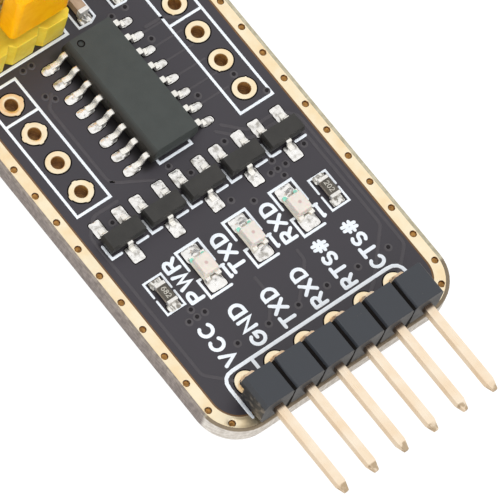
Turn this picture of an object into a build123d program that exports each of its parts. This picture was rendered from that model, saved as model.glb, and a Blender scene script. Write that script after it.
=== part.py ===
# USB to serial adapter module
#
# A small circuit board with a right angle pin header at one end and a USB plug at the other,
# a row of plated holes along each side, a three way jumper with a cap that pulls off, and
# surface parts on top. X runs from the plug to the pin header, Y across the board and Z up.
# The origin lies on the surface that the solder tails stand on, under the middle of the part.

import os
from math import atan, degrees, sqrt

from build123d import *

os.makedirs("parts", exist_ok=True)

# Circuit board: its length and width follow from what stands on it
board_thickness = 1.6
board_corner_radius = 3.0
board_edge_chamfer = 0.18
tail_length = 1.3

# Plated vias that stitch the gold rim of the board, eight sided
rim_via_diameter = 0.48
rim_via_sides = 8
rim_via_pitch = 2.315
rim_via_inset = 0.46
rim_via_shift = 0.15

# Holes along the two sides
side_hole_diameter = 1.0
side_hole_pitch = 2.54
side_hole_count = 4
side_row_spacing = 13.9
side_row_margin = 3.21
side_row_shift = 0.07

# Square pins of the header and the jumper, and the holes they are soldered in
pin_side = 0.64
pin_pitch = 2.54
pin_point_side = 0.3
pin_hole_clearance = 0.1
tail_point_length = 0.25

# Right angle pin header
header_count = 6
header_body_depth = 2.5
header_body_height = 2.54
header_body_lift = 0.2
header_body_inset = 0.1
header_notch_width = 0.46
header_notch_depth = 0.45
header_slit_width = 0.14
header_slit_depth = 0.18
header_recess_gap = 0.1
header_leg_setback = 0.3
header_pin_overhang = 7.1
header_pin_point_length = 0.7
header_bend_radius = 0.7

# Jumper header and its cap
jumper_count = 3
jumper_base_height = 2.54
jumper_notch = 0.42
jumper_gap = 1.1
jumper_middle_y = -4.24
jumper_pin_reach = 4.3
jumper_point_length = 0.5
cap_side_wall = 0.32
cap_end_wall = 0.46
cap_height = 4.9
cap_corner_radius = 0.45
cap_seat_gap = 0.62
cap_top_thickness = 1.0
clip_thickness = 0.2
clip_pin_gap = 0.06
clip_end_gap = 0.2
clip_lift = 0.5
clip_slot_width = 0.4
clip_slot_height = 2.6

# USB plug
plug_width = 12.0
plug_height = 4.5
plug_overhang = 11.9
plug_seat_length = 6.2
plug_gap = 1.0
shell_thickness = 0.3
shell_bend_radius = 0.7
shell_seam = 0.12
shell_lip = 0.15
window_length = 2.3
window_width = 2.5
window_distance = 6.3
window_spacing = 5.8
stake_length = 2.2
stake_distance = 3.4
stake_relief = 0.3
slot_clearance = 0.25
tongue_thickness = 1.95
tongue_side_gap = 0.15
tongue_front_gap = 0.5
insulator_block_length = 4.6
insulator_corner_gap = 0.2
insulator_rear_step = 0.5
contact_width = 1.0
contact_thickness = 0.25
contact_spacing_inner = 2.0
contact_spacing_outer = 7.0
contact_front_outer = 1.2
contact_front_inner = 2.2
contact_rise = 0.05
contact_tail_width = 0.6
contact_tail_step = 0.55
contact_bend_radius = 0.4

# Solder
solder_foot_radius = 0.8
solder_neck_radius = 0.48
solder_height = 0.65
solder_sides = 8
solder_layer = 0.08

# Bends of flat leads
lead_shoulder_share = 0.45

# Serial chip
chip_length = 9.9
chip_width = 3.9
chip_height = 1.65
chip_standoff = 0.12
chip_draft = 7
chip_bevel = 0.32
chip_dimple_diameter = 0.5
chip_dimple_depth = 0.08
chip_dimple_inset_x = 0.68
chip_dimple_inset_y = 1.0
chip_gap = 1.88
chip_lead_count = 8
chip_lead_pitch = 1.27
chip_lead_width = 0.42
chip_lead_thickness = 0.2
chip_span = 6.0
chip_foot = 0.55
chip_land_length = 1.3
chip_land_reach = 0.75
chip_land_width = 0.6

# Small transistors
transistor_count = 5
transistor_side_gap = 0.475
transistor_length = 2.9
transistor_width = 1.3
transistor_height = 1.05
transistor_standoff = 0.08
transistor_draft = 8
transistor_span = 2.5
transistor_foot = 0.35
transistor_lead_width = 0.42
transistor_lead_thickness = 0.14
transistor_lead_spacing = 1.9
transistor_land_length = 1.25
transistor_land_reach = 0.8
transistor_land_width = 0.9

# Light emitting diodes
led_length = 2.0
led_width = 1.25
led_base_height = 0.35
led_lens_length = 1.5
led_lens_height = 0.45
led_lens_draft = 8
led_notch_radius = 0.3
label_zone_length = 7.37
led_gap = 2.48
led_middle_y = 0.41
led_side_gap = 2.73
led_land_reach = 0.9
led_land_inner = 0.25
led_land_width = 1.35

# Chip resistors and capacitors
chip_part_length = 1.6
chip_part_width = 0.8
resistor_height = 0.45
capacitor_height = 0.8
resistor_terminal_length = 0.24
capacitor_terminal_length = 0.32
terminal_thickness = 0.05
resistor_shift = 0.11
resistor_margin = 3.2
capacitor_gap = 1.37
capacitor_places_y = (1.12, 4.05)
passive_land_length = 0.65
passive_land_reach = 0.35
passive_land_width = 0.95

# Places worked out from the sizes above, one after another from the header to the plug
board_width = side_row_spacing + 2 * side_row_margin
board_length = (
    header_body_inset
    + header_body_depth
    + label_zone_length
    + led_length
    + led_gap
    + transistor_span
    + chip_gap
    + chip_length
    + jumper_gap
    + pin_pitch
    + plug_gap
    + contact_tail_step
    + insulator_rear_step
    + plug_seat_length
)
board_mid = (plug_overhang - header_pin_overhang) / 2
board_bottom = tail_length
board_top = board_bottom + board_thickness
pin_hole_diameter = pin_side * sqrt(2) + pin_hole_clearance
rim_via_count = round((board_length - 2 * board_corner_radius) / rim_via_pitch) + 1
corner_via_inset = board_corner_radius - (board_corner_radius - rim_via_inset) * sqrt(0.5)
header_end = board_mid + board_length / 2
header_pin_tip = header_end + header_pin_overhang
header_body_front = header_end - header_body_inset
header_body_back = header_body_front - header_body_depth
header_leg_x = header_body_back - header_leg_setback
header_axis_z = board_top + header_body_lift + header_body_height / 2
led_x = header_body_back - label_zone_length - led_length / 2
resistor_x = led_x + resistor_shift
transistor_x = led_x - led_length / 2 - led_gap - transistor_span / 2
chip_x = transistor_x - transistor_span / 2 - chip_gap - chip_length / 2
side_row_x = chip_x + side_row_shift
jumper_x = chip_x - chip_length / 2 - jumper_gap - pin_pitch / 2
jumper_base_top = board_top + jumper_base_height
capacitor_x = chip_x - chip_length / 2 - capacitor_gap - chip_part_length / 2
contact_tail_x = jumper_x - pin_pitch / 2 - plug_gap
insulator_back = contact_tail_x - contact_tail_step
shell_back = insulator_back - insulator_rear_step
plug_end = shell_back - plug_seat_length
shell_front = plug_end - plug_overhang
shell_mid_z = board_top + plug_height / 2
stake_x = plug_end + stake_distance
stake_y = (plug_width - shell_thickness) / 2
tongue_top = board_top + shell_thickness + tongue_thickness
contact_top = tongue_top + contact_rise

# Rows of equal parts across the board
header_pin_places = [(row - (header_count - 1) / 2) * pin_pitch for row in range(header_count)]
jumper_pin_places = [jumper_middle_y + (1 - row) * pin_pitch for row in range(jumper_count)]
transistor_pitch = transistor_length + transistor_side_gap
transistor_places = [
    (place - (transistor_count - 1) / 2) * transistor_pitch for place in range(transistor_count)
]
led_pitch = led_width + led_side_gap
led_places = [led_middle_y + (place - 1) * led_pitch for place in range(3)]
resistor_y = board_width / 2 - resistor_margin
contact_places = [
    -contact_spacing_outer / 2,
    -contact_spacing_inner / 2,
    contact_spacing_inner / 2,
    contact_spacing_outer / 2,
]


def slope(drop, run):
    """Draft angle of a face that moves in by drop over a height of run."""
    return degrees(atan(drop / run))


def finish(builder, name):
    """Label a finished piece and write it to its own file."""
    builder.part.label = name
    export_step(builder.part, f"parts/{name}.step")


# Circuit board
with BuildPart() as circuit_board:
    with BuildSketch(Plane.XY.offset(board_bottom)):
        with Locations((board_mid, 0)):
            RectangleRounded(board_length, board_width, board_corner_radius)
    extrude(amount=board_thickness)
    rims = circuit_board.edges().filter_by(lambda edge: edge.bounding_box().size.Z < 0.01)
    chamfer(rims, board_edge_chamfer)
    with BuildSketch(Plane.XY.offset(board_bottom)):
        with Locations((side_row_x, 0)):
            with GridLocations(side_hole_pitch, side_row_spacing, side_hole_count, 2):
                Circle(side_hole_diameter / 2)
        with Locations([(header_leg_x, y) for y in header_pin_places]):
            Circle(pin_hole_diameter / 2)
        with Locations([(jumper_x, y) for y in jumper_pin_places]):
            Circle(pin_hole_diameter / 2)
        with Locations([(contact_tail_x, y) for y in contact_places]):
            Circle(contact_tail_width / 2 + slot_clearance)
        with Locations((stake_x, -stake_y), (stake_x, stake_y)):
            SlotOverall(stake_length + 2 * slot_clearance, shell_thickness + 2 * slot_clearance)
        with Locations((board_mid + rim_via_shift, 0)):
            with GridLocations(rim_via_pitch, board_width - 2 * rim_via_inset, rim_via_count, 2):
                RegularPolygon(rim_via_diameter / 2, rim_via_sides, major_radius=False)
        with Locations((board_mid, 0)):
            with GridLocations(
                board_length - 2 * corner_via_inset, board_width - 2 * corner_via_inset, 2, 2
            ):
                RegularPolygon(rim_via_diameter / 2, rim_via_sides, major_radius=False)
    extrude(amount=board_thickness, mode=Mode.SUBTRACT)
finish(circuit_board, "circuit_board")


# Pin header housing: one strip, notched between the ways, with a recess over the bends
with BuildPart() as header_housing:
    with BuildSketch(Plane.YZ.offset(header_body_back)):
        with Locations((0, header_axis_z)):
            Rectangle(header_count * pin_pitch, header_body_height)
            with GridLocations(pin_pitch, header_body_height, header_count + 1, 2):
                Polygon(
                    (-header_notch_width / 2, 0),
                    (0, -header_notch_depth),
                    (header_notch_width / 2, 0),
                    (0, header_notch_depth),
                    mode=Mode.SUBTRACT,
                )
            with GridLocations(pin_pitch, 0, header_count, 1):
                Rectangle(pin_side, pin_side, mode=Mode.SUBTRACT)
    extrude(amount=header_body_depth)
    recess_top = header_axis_z + pin_side / 2 + header_recess_gap
    with BuildSketch(Plane.XY.offset(board_top)):
        with Locations((header_body_back, 0)):
            Rectangle(2 * (header_bend_radius - header_leg_setback), header_count * pin_pitch)
    extrude(amount=recess_top - board_top, mode=Mode.SUBTRACT)
    with BuildSketch(Plane.XY.offset(board_top)):
        with Locations((header_body_front, 0)):
            with GridLocations(0, pin_pitch, 1, header_count - 1):
                Rectangle(2 * header_slit_depth, header_slit_width)
    extrude(amount=header_body_lift + header_body_height, mode=Mode.SUBTRACT)
finish(header_housing, "header_housing")


# Header pins: square wire with a pointed tip, bent once and put through the board
for number, y in enumerate(header_pin_places, start=1):
    with BuildPart() as header_pin:
        point_start = header_pin_tip - header_pin_point_length
        with BuildLine(Plane.XZ.offset(-y)):
            FilletPolyline(
                (point_start, header_axis_z),
                (header_leg_x, header_axis_z),
                (header_leg_x, tail_point_length),
                radius=header_bend_radius,
            )
        with BuildSketch(Plane.YZ.offset(point_start)):
            with Locations((y, header_axis_z)):
                Rectangle(pin_side, pin_side)
        sweep()
        with BuildSketch(Plane.YZ.offset(point_start)):
            with Locations((y, header_axis_z)):
                Rectangle(pin_side, pin_side)
        extrude(
            amount=header_pin_point_length,
            taper=slope((pin_side - pin_point_side) / 2, header_pin_point_length),
        )
        with BuildSketch(Plane.XY.offset(tail_point_length)):
            with Locations((header_leg_x, y)):
                Rectangle(pin_side, pin_side)
        extrude(amount=-tail_point_length, taper=slope((pin_side - pin_point_side) / 4, tail_point_length))
    finish(header_pin, f"header_pin_{number}")


# Jumper header base
with BuildPart() as jumper_base:
    with BuildSketch(Plane.XY.offset(board_top)):
        with Locations((jumper_x, jumper_middle_y)):
            Rectangle(pin_pitch, jumper_count * pin_pitch)
            with GridLocations(pin_pitch, pin_pitch, 2, jumper_count + 1):
                Rectangle(jumper_notch * sqrt(2), jumper_notch * sqrt(2), rotation=45, mode=Mode.SUBTRACT)
            with GridLocations(0, pin_pitch, 1, jumper_count):
                Rectangle(pin_side, pin_side, mode=Mode.SUBTRACT)
    extrude(amount=jumper_base_height)
finish(jumper_base, "jumper_base")


# Jumper pins
jumper_pin_top = jumper_base_top + jumper_pin_reach
for number, y in enumerate(jumper_pin_places, start=1):
    with BuildPart() as jumper_pin:
        shank_top = jumper_pin_top - jumper_point_length
        with BuildSketch(Plane.XY.offset(tail_point_length)):
            with Locations((jumper_x, y)):
                Rectangle(pin_side, pin_side)
        extrude(amount=shank_top - tail_point_length)
        with BuildSketch(Plane.XY.offset(shank_top)):
            with Locations((jumper_x, y)):
                Rectangle(pin_side, pin_side)
        extrude(
            amount=jumper_point_length,
            taper=slope((pin_side - pin_point_side) / 2, jumper_point_length),
        )
        with BuildSketch(Plane.XY.offset(tail_point_length)):
            with Locations((jumper_x, y)):
                Rectangle(pin_side, pin_side)
        extrude(amount=-tail_point_length, taper=slope((pin_side - pin_point_side) / 4, tail_point_length))
    finish(jumper_pin, f"jumper_pin_{number}")


# Jumper cap: a moulded sleeve over the first two pins, open below, with a test window on top
cap_y = (jumper_pin_places[0] + jumper_pin_places[1]) / 2
cap_bottom = jumper_base_top + cap_seat_gap
cap_cavity_top = cap_bottom + cap_height - cap_top_thickness
clip_inner_width = pin_side + 2 * clip_pin_gap
clip_inner_length = pin_pitch + pin_side + 2 * clip_end_gap
clip_outer_width = clip_inner_width + 2 * clip_thickness
clip_outer_length = clip_inner_length + 2 * clip_thickness
cap_width = clip_outer_width + 2 * cap_side_wall
cap_length = clip_outer_length + 2 * cap_end_wall
with BuildPart() as jumper_cap_housing:
    with BuildSketch(Plane.XY.offset(cap_bottom)):
        with Locations((jumper_x, cap_y)):
            RectangleRounded(cap_width, cap_length, cap_corner_radius)
            Rectangle(clip_inner_width, clip_inner_length, mode=Mode.SUBTRACT)
    extrude(amount=cap_height)
    with BuildSketch(Plane.XY.offset(cap_bottom)):
        with Locations((jumper_x, cap_y)):
            Rectangle(clip_outer_width, clip_outer_length)
    extrude(amount=cap_cavity_top - cap_bottom, mode=Mode.SUBTRACT)
    top_rim = jumper_cap_housing.faces().sort_by(Axis.Z)[-1].outer_wire().edges()
    chamfer(top_rim, cap_corner_radius / 2)
finish(jumper_cap_housing, "jumper_cap_housing")


# Clip of the jumper cap: a strip folded into a ring round both pins, slotted between them
with BuildPart() as jumper_cap_clip:
    clip_bottom = cap_bottom + clip_lift
    with BuildSketch(Plane.XY.offset(clip_bottom)):
        with Locations((jumper_x, cap_y)):
            Rectangle(clip_outer_width, clip_outer_length)
            Rectangle(clip_inner_width, clip_inner_length, mode=Mode.SUBTRACT)
    extrude(amount=cap_cavity_top - clip_bottom)
    with BuildSketch(Plane.XY.offset(clip_bottom)):
        with Locations((jumper_x, cap_y)):
            Rectangle(clip_outer_width, clip_slot_width)
    extrude(amount=clip_slot_height, mode=Mode.SUBTRACT)
finish(jumper_cap_clip, "jumper_cap_clip")


# USB plug shell: one sheet folded into a tube, with four windows and two stakes
with BuildPart() as usb_plug_shell:
    with BuildSketch(Plane.YZ.offset(shell_front)):
        with Locations((0, shell_mid_z)):
            RectangleRounded(plug_width, plug_height, shell_bend_radius)
    extrude(amount=shell_back - shell_front)
    chamfer(usb_plug_shell.faces().sort_by(Axis.X)[0].edges(), shell_lip)
    with BuildSketch(Plane.YZ.offset(shell_front)):
        with Locations((0, shell_mid_z)):
            RectangleRounded(
                plug_width - 2 * shell_thickness,
                plug_height - 2 * shell_thickness,
                shell_bend_radius - shell_thickness,
            )
        with Locations((0, board_top)):
            Rectangle(shell_seam, 2 * shell_thickness)
    extrude(amount=shell_back - shell_front, mode=Mode.SUBTRACT)
    with BuildSketch(Plane.XY.offset(board_top)):
        with Locations((shell_front + window_distance, 0)):
            with GridLocations(0, window_spacing, 1, 2):
                Rectangle(window_length, window_width)
    extrude(amount=plug_height, mode=Mode.SUBTRACT)
    with BuildSketch(Plane.XY.offset(board_top)):
        with Locations((stake_x, -plug_width / 2), (stake_x, plug_width / 2)):
            Rectangle(stake_length + 2 * stake_relief, 2 * shell_bend_radius)
    extrude(amount=shell_bend_radius, mode=Mode.SUBTRACT)
    with BuildSketch(Plane.XZ.offset(stake_y - shell_thickness / 2)):
        with Locations((stake_x, (board_top + shell_bend_radius) / 2)):
            stake = Rectangle(stake_length, board_top + shell_bend_radius)
        chamfer(stake.vertices().group_by(Axis.Z)[0], tail_length / 3)
    extrude(amount=shell_thickness)
    mirror(about=Plane.XZ)
finish(usb_plug_shell, "usb_plug_shell")


# Insulator of the plug: a block that fills the back of the shell, and the tongue
with BuildPart() as usb_plug_insulator:
    block_front = shell_back - insulator_block_length
    with BuildSketch(Plane.YZ.offset(block_front)):
        with Locations((0, shell_mid_z)):
            RectangleRounded(
                plug_width - 2 * shell_thickness,
                plug_height - 2 * shell_thickness,
                shell_bend_radius - shell_thickness + insulator_corner_gap,
            )
    extrude(amount=insulator_back - block_front)
    tongue_front = shell_front + tongue_front_gap
    with BuildSketch(Plane.YZ.offset(tongue_front)):
        with Locations((0, tongue_top - tongue_thickness / 2)):
            RectangleRounded(
                plug_width - 2 * (shell_thickness + tongue_side_gap),
                tongue_thickness,
                shell_bend_radius - shell_thickness,
            )
    extrude(amount=block_front - tongue_front)
    tongue_edges = usb_plug_insulator.faces().sort_by(Axis.X)[0].edges()
    chamfer(tongue_edges, tongue_side_gap)
    for y, front_gap in zip(
        contact_places,
        (contact_front_outer, contact_front_inner, contact_front_inner, contact_front_outer),
    ):
        with BuildSketch(Plane.YZ.offset(shell_front + front_gap)):
            with Locations((y, contact_top - contact_thickness / 2)):
                Rectangle(contact_width, contact_thickness)
        extrude(amount=insulator_back - shell_front - front_gap, mode=Mode.SUBTRACT)
finish(usb_plug_insulator, "usb_plug_insulator")


# Contacts of the plug: flat strips on the tongue that go through the block and turn down
for number, (y, front_gap) in enumerate(
    zip(
        contact_places,
        (contact_front_outer, contact_front_inner, contact_front_inner, contact_front_outer),
    ),
    start=1,
):
    with BuildPart() as usb_contact:
        with BuildSketch(Plane.YZ.offset(shell_front + front_gap)):
            with Locations((y, contact_top - contact_thickness / 2)):
                Rectangle(contact_width, contact_thickness)
        extrude(amount=insulator_back - shell_front - front_gap)
        with BuildLine(Plane.XZ.offset(-y)):
            FilletPolyline(
                (insulator_back, contact_top - contact_thickness / 2),
                (contact_tail_x, contact_top - contact_thickness / 2),
                (contact_tail_x, 0),
                radius=contact_bend_radius,
            )
        with BuildSketch(Plane.YZ.offset(insulator_back)):
            with Locations((y, contact_top - contact_thickness / 2)):
                Rectangle(contact_tail_width, contact_thickness)
        sweep()
    finish(usb_contact, f"usb_contact_{number}")


# Serial chip body: two tapered halves with a bevel along the side of the first pin
chip_bottom = board_top + chip_standoff
chip_mid_z = (chip_bottom + board_top + chip_height) / 2
with BuildPart() as serial_chip_body:
    with BuildSketch(Plane.XY.offset(chip_mid_z)):
        with Locations((chip_x, 0)):
            Rectangle(chip_length, chip_width)
    extrude(amount=board_top + chip_height - chip_mid_z, taper=chip_draft)
    extrude(
        serial_chip_body.faces().sort_by(Axis.Z)[0],
        amount=chip_mid_z - chip_bottom,
        dir=(0, 0, -1),
        taper=chip_draft,
    )
    chip_roof = serial_chip_body.faces().sort_by(Axis.Z)[-1]
    chamfer(chip_roof.edges().sort_by(Axis.Y)[0], chip_bevel)
    with Locations(
        (
            chip_x - chip_length / 2 + chip_dimple_inset_x,
            -chip_width / 2 + chip_dimple_inset_y,
            board_top + chip_height,
        )
    ):
        Cylinder(
            chip_dimple_diameter / 2,
            2 * chip_dimple_depth,
            mode=Mode.SUBTRACT,
        )
finish(serial_chip_body, "serial_chip_body")


def gull_wing(start_y, start_z, tip_y, foot, width, thickness, foot_bottom):
    """One flat lead from a body's side out, down and along its foot, in the YZ plane."""
    foot_z = foot_bottom + thickness / 2
    knee_y = tip_y - foot
    shoulder_y = start_y + (knee_y - start_y) * lead_shoulder_share
    with BuildPart() as lead:
        with BuildLine(Plane.YZ) as route:
            Polyline((start_y, start_z), (shoulder_y, start_z), (knee_y, foot_z), (tip_y, foot_z))
        with BuildSketch(Plane(origin=route.line @ 0, x_dir=(1, 0, 0), z_dir=route.line % 0)):
            Rectangle(width, thickness)
        sweep(transition=Transition.RIGHT)
    return lead.part


# Leads of the serial chip
chip_lead = gull_wing(
    chip_width / 2,
    chip_mid_z,
    chip_span / 2,
    chip_foot,
    chip_lead_width,
    chip_lead_thickness,
    board_top + solder_layer,
)
with BuildPart() as serial_chip_leads:
    with Locations((chip_x, 0)):
        with GridLocations(chip_lead_pitch, 0, chip_lead_count, 1):
            add(chip_lead)
    mirror(about=Plane.XZ)
finish(serial_chip_leads, "serial_chip_leads")


# Small transistors in a row across the board: one lead towards the header, two away from it
transistor_mid_z = board_top + (transistor_standoff + transistor_height) / 2
transistor_lead = gull_wing(
    transistor_width / 2,
    transistor_mid_z,
    transistor_span / 2,
    transistor_foot,
    transistor_lead_width,
    transistor_lead_thickness,
    board_top + solder_layer,
)
for number, y in enumerate(transistor_places, start=1):
    with BuildPart() as transistor_body:
        with BuildSketch(Plane.XY.offset(transistor_mid_z)):
            with Locations((transistor_x, y)):
                Rectangle(transistor_width, transistor_length)
        extrude(
            amount=board_top + transistor_height - transistor_mid_z,
            taper=transistor_draft,
        )
        extrude(
            transistor_body.faces().sort_by(Axis.Z)[0],
            amount=transistor_mid_z - board_top - transistor_standoff,
            dir=(0, 0, -1),
            taper=transistor_draft,
        )
    finish(transistor_body, f"transistor_{number}_body")

    with BuildPart() as transistor_leads:
        with Locations(Location((transistor_x, y, 0), (0, 0, -90))):
            add(transistor_lead)
        with Locations(
            Location((transistor_x, y - transistor_lead_spacing / 2, 0), (0, 0, 90)),
            Location((transistor_x, y + transistor_lead_spacing / 2, 0), (0, 0, 90)),
        ):
            add(transistor_lead)
    finish(transistor_leads, f"transistor_{number}_leads")


# Light emitting diodes: a flat base with a plated half hole at each end, and a clear lens
led_base_top = board_top + solder_layer + led_base_height
for number, y in enumerate(led_places, start=1):
    with BuildPart() as led_base:
        with BuildSketch(Plane.XY.offset(board_top + solder_layer)):
            with Locations((led_x, y)):
                Rectangle(led_length, led_width)
                with GridLocations(led_length, 0, 2, 1):
                    Circle(led_notch_radius, mode=Mode.SUBTRACT)
        extrude(amount=led_base_height)
    finish(led_base, f"led_{number}_base")

    with BuildPart() as led_lens:
        with BuildSketch(Plane.XY.offset(led_base_top)):
            with Locations((led_x, y)):
                Rectangle(led_lens_length, led_width)
        extrude(amount=led_lens_height, taper=led_lens_draft)
    finish(led_lens, f"led_{number}_lens")


def chip_part(x, y, height, terminal_length):
    """Body and end terminals of a two ended chip part that lies along X."""
    bottom = board_top + solder_layer
    with BuildPart() as body:
        with Locations((x, y, bottom + height / 2)):
            Box(
                chip_part_length - 2 * terminal_thickness,
                chip_part_width - 2 * terminal_thickness,
                height - 2 * terminal_thickness,
            )
    with BuildPart() as terminals:
        with Locations((x, y, bottom + height / 2)):
            with GridLocations(chip_part_length - terminal_length, 0, 2, 1):
                Box(terminal_length, chip_part_width, height)
        add(body.part, mode=Mode.SUBTRACT)
    return body, terminals


# Chip resistors beside the diodes
for number, y in enumerate((-resistor_y, resistor_y), start=1):
    resistor_body, resistor_terminals = chip_part(
        resistor_x, y, resistor_height, resistor_terminal_length
    )
    finish(resistor_body, f"resistor_{number}_body")
    finish(resistor_terminals, f"resistor_{number}_terminals")


# Chip capacitors between the serial chip and the plug
for number, y in enumerate(capacitor_places_y, start=1):
    capacitor_body, capacitor_terminals = chip_part(
        capacitor_x, y, capacitor_height, capacitor_terminal_length
    )
    finish(capacitor_body, f"capacitor_{number}_body")
    finish(capacitor_terminals, f"capacitor_{number}_terminals")


def solder_cones(places, hole_x, hole_y):
    """Eight sided solder cones under the board, each pierced by a tail of hole_x by hole_y."""
    with BuildPart() as cone:
        with BuildSketch(Plane.XY.offset(board_bottom)):
            RegularPolygon(solder_foot_radius, solder_sides)
        with BuildSketch(Plane.XY.offset(board_bottom - solder_height)):
            RegularPolygon(solder_neck_radius, solder_sides)
        loft()
        with BuildSketch(Plane.XY.offset(board_bottom)):
            Rectangle(hole_x, hole_y)
        extrude(amount=-solder_height, mode=Mode.SUBTRACT)
    with BuildPart() as cones:
        with Locations(places):
            add(cone.part)
    return cones


def solder_lands(places, length, width):
    """Flat solder under surface parts: a layer on the board at each place."""
    with BuildPart() as lands:
        with BuildSketch(Plane.XY.offset(board_top)):
            with Locations(places):
                Rectangle(length, width)
        extrude(amount=solder_layer)
    return lands


# Solder joints of the pins and of the plug, under the board
header_solder = solder_cones([(header_leg_x, y) for y in header_pin_places], pin_side, pin_side)
finish(header_solder, "header_solder")
jumper_solder = solder_cones([(jumper_x, y) for y in jumper_pin_places], pin_side, pin_side)
finish(jumper_solder, "jumper_solder")
contact_solder = solder_cones(
    [(contact_tail_x, y) for y in contact_places], contact_thickness, contact_tail_width
)
finish(contact_solder, "usb_contact_solder")


# Solder under the leads of the serial chip
chip_land_y = chip_span / 2 + chip_land_reach - chip_land_length / 2
with BuildPart() as chip_solder:
    with BuildSketch(Plane.XY.offset(board_top)):
        with Locations((chip_x, 0)):
            with GridLocations(chip_lead_pitch, 2 * chip_land_y, chip_lead_count, 2):
                Rectangle(chip_land_width, chip_land_length)
    extrude(amount=solder_layer)
finish(chip_solder, "serial_chip_solder")


# Solder under the leads of the transistors
transistor_land_x = transistor_span / 2 + transistor_land_reach - transistor_land_length / 2
transistor_solder = solder_lands(
    [(transistor_x + transistor_land_x, y) for y in transistor_places]
    + [
        (transistor_x - transistor_land_x, y + side * transistor_lead_spacing / 2)
        for y in transistor_places
        for side in (-1, 1)
    ],
    transistor_land_length,
    transistor_land_width,
)
finish(transistor_solder, "transistor_solder")


# Solder under the ends of the diodes, resistors and capacitors
led_land_x = led_length / 2 + (led_land_reach - led_land_inner) / 2
led_solder = solder_lands(
    [(led_x + side * led_land_x, y) for y in led_places for side in (-1, 1)],
    led_land_reach + led_land_inner,
    led_land_width,
)
finish(led_solder, "led_solder")
passive_land_x = chip_part_length / 2 + passive_land_reach - passive_land_length / 2
passive_solder = solder_lands(
    [
        (x + side * passive_land_x, y)
        for x, y in (
            (resistor_x, -resistor_y),
            (resistor_x, resistor_y),
            (capacitor_x, capacitor_places_y[0]),
            (capacitor_x, capacitor_places_y[1]),
        )
        for side in (-1, 1)
    ],
    passive_land_length,
    passive_land_width,
)
finish(passive_solder, "passive_solder")
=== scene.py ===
# %% [markdown]
# # A USB to serial adapter module
#
# The object is a small circuit board with a black pin header at one end and a USB plug at
# the other. This lesson dresses the solids of the CAD model with the things that an eye looks
# for on a real board: plating, ink, solder, and the small unevenness of each of them. The CAD
# model comes first, because every piece below takes its place from it.

# %% Load the frame
import math

import bmesh
import bpy
import numpy as np
from mathutils import Matrix, Vector


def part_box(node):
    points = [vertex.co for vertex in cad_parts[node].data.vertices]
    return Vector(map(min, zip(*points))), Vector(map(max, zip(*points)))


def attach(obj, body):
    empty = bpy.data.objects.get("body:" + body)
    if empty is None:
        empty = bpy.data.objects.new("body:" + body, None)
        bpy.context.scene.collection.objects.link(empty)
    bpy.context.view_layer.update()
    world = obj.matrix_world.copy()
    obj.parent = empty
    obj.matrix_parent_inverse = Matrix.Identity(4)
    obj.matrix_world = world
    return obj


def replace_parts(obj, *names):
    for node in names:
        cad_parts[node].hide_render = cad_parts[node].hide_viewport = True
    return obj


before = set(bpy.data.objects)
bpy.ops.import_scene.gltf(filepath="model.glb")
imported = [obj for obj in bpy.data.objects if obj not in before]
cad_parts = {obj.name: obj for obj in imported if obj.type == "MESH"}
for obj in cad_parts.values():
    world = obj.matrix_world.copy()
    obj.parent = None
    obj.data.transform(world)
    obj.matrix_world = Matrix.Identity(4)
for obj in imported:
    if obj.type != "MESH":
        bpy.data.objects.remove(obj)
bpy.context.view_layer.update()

# %% [markdown]
# The pieces are easier to think about in millimetres, so every shape below is worked out in
# millimetres and turned to metres once, when its mesh is made. The board's own box gives the
# heights and the middle line that nearly every piece needs.

# %% Sizes of the board
MM = 0.001
X, Y, Z = range(3)


def box_mm(node):
    """Lowest and highest corner of a CAD node, in millimetres."""
    low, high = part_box(node)
    return np.array(low) / MM, np.array(high) / MM


board_low, board_high = box_mm("circuit_board")
board_top, board_bottom = board_high[Z], board_low[Z]
board_mid = (board_low[X] + board_high[X]) / 2
board_half_length = (board_high[X] - board_low[X]) / 2
board_half_width = board_high[Y]
board_corner = 3.0
print("board from", board_low.round(2), "to", board_high.round(2))

# %% [markdown]
# ## The camera
#
# The photograph looks down on the board from the header end, through a long lens. A camera in
# Blender looks along its own -Z, so its three axes are written down as right, up and back, and
# put side by side in a matrix.

# %% Camera
camera_place = Vector((0.09483, -0.1340, 0.30184))
camera_back = Vector((0.24403, -0.39615, 0.88516)).normalized()
camera_up = Vector((-0.75067, 0.5007, 0.43104)).normalized()
camera_right = camera_up.cross(camera_back).normalized()
camera_up = camera_back.cross(camera_right)
camera = bpy.data.objects.new("camera", bpy.data.cameras.new("camera"))
camera.data.sensor_width = 36
camera.data.lens = 370.06
camera.data.clip_start = 0.01
camera.matrix_world = (
    Matrix.Translation(camera_place)
    @ Matrix((camera_right, camera_up, camera_back)).transposed().to_4x4()
)
bpy.context.scene.collection.objects.link(camera)
bpy.context.scene.camera = camera
print("camera at", tuple(round(c, 3) for c in camera_place))

# %% [markdown]
# ## Shaders as arithmetic
#
# A material is a graph of nodes, long and hard to read when it is written out node by node. So
# `Value` wraps one output socket, and adding or multiplying two of them puts a Math node in the
# graph. `Finish` is a material being made: its method `node` adds any other node.

# %% Shader helpers


class Value:
    """A number or colour inside a shader. Arithmetic on it adds Math nodes."""

    def __init__(self, finish, socket):
        self.finish, self.socket = finish, socket

    def maths(self, operation, *values):
        settings = {"operation": operation}
        return self.finish.node("ShaderNodeMath", settings, dict(enumerate(values)))

    def __add__(self, other):
        return self.maths("ADD", self, other)

    def __mul__(self, other):
        return self.maths("MULTIPLY", self, other)

    def __gt__(self, other):
        return self.maths("GREATER_THAN", self, other)


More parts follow.
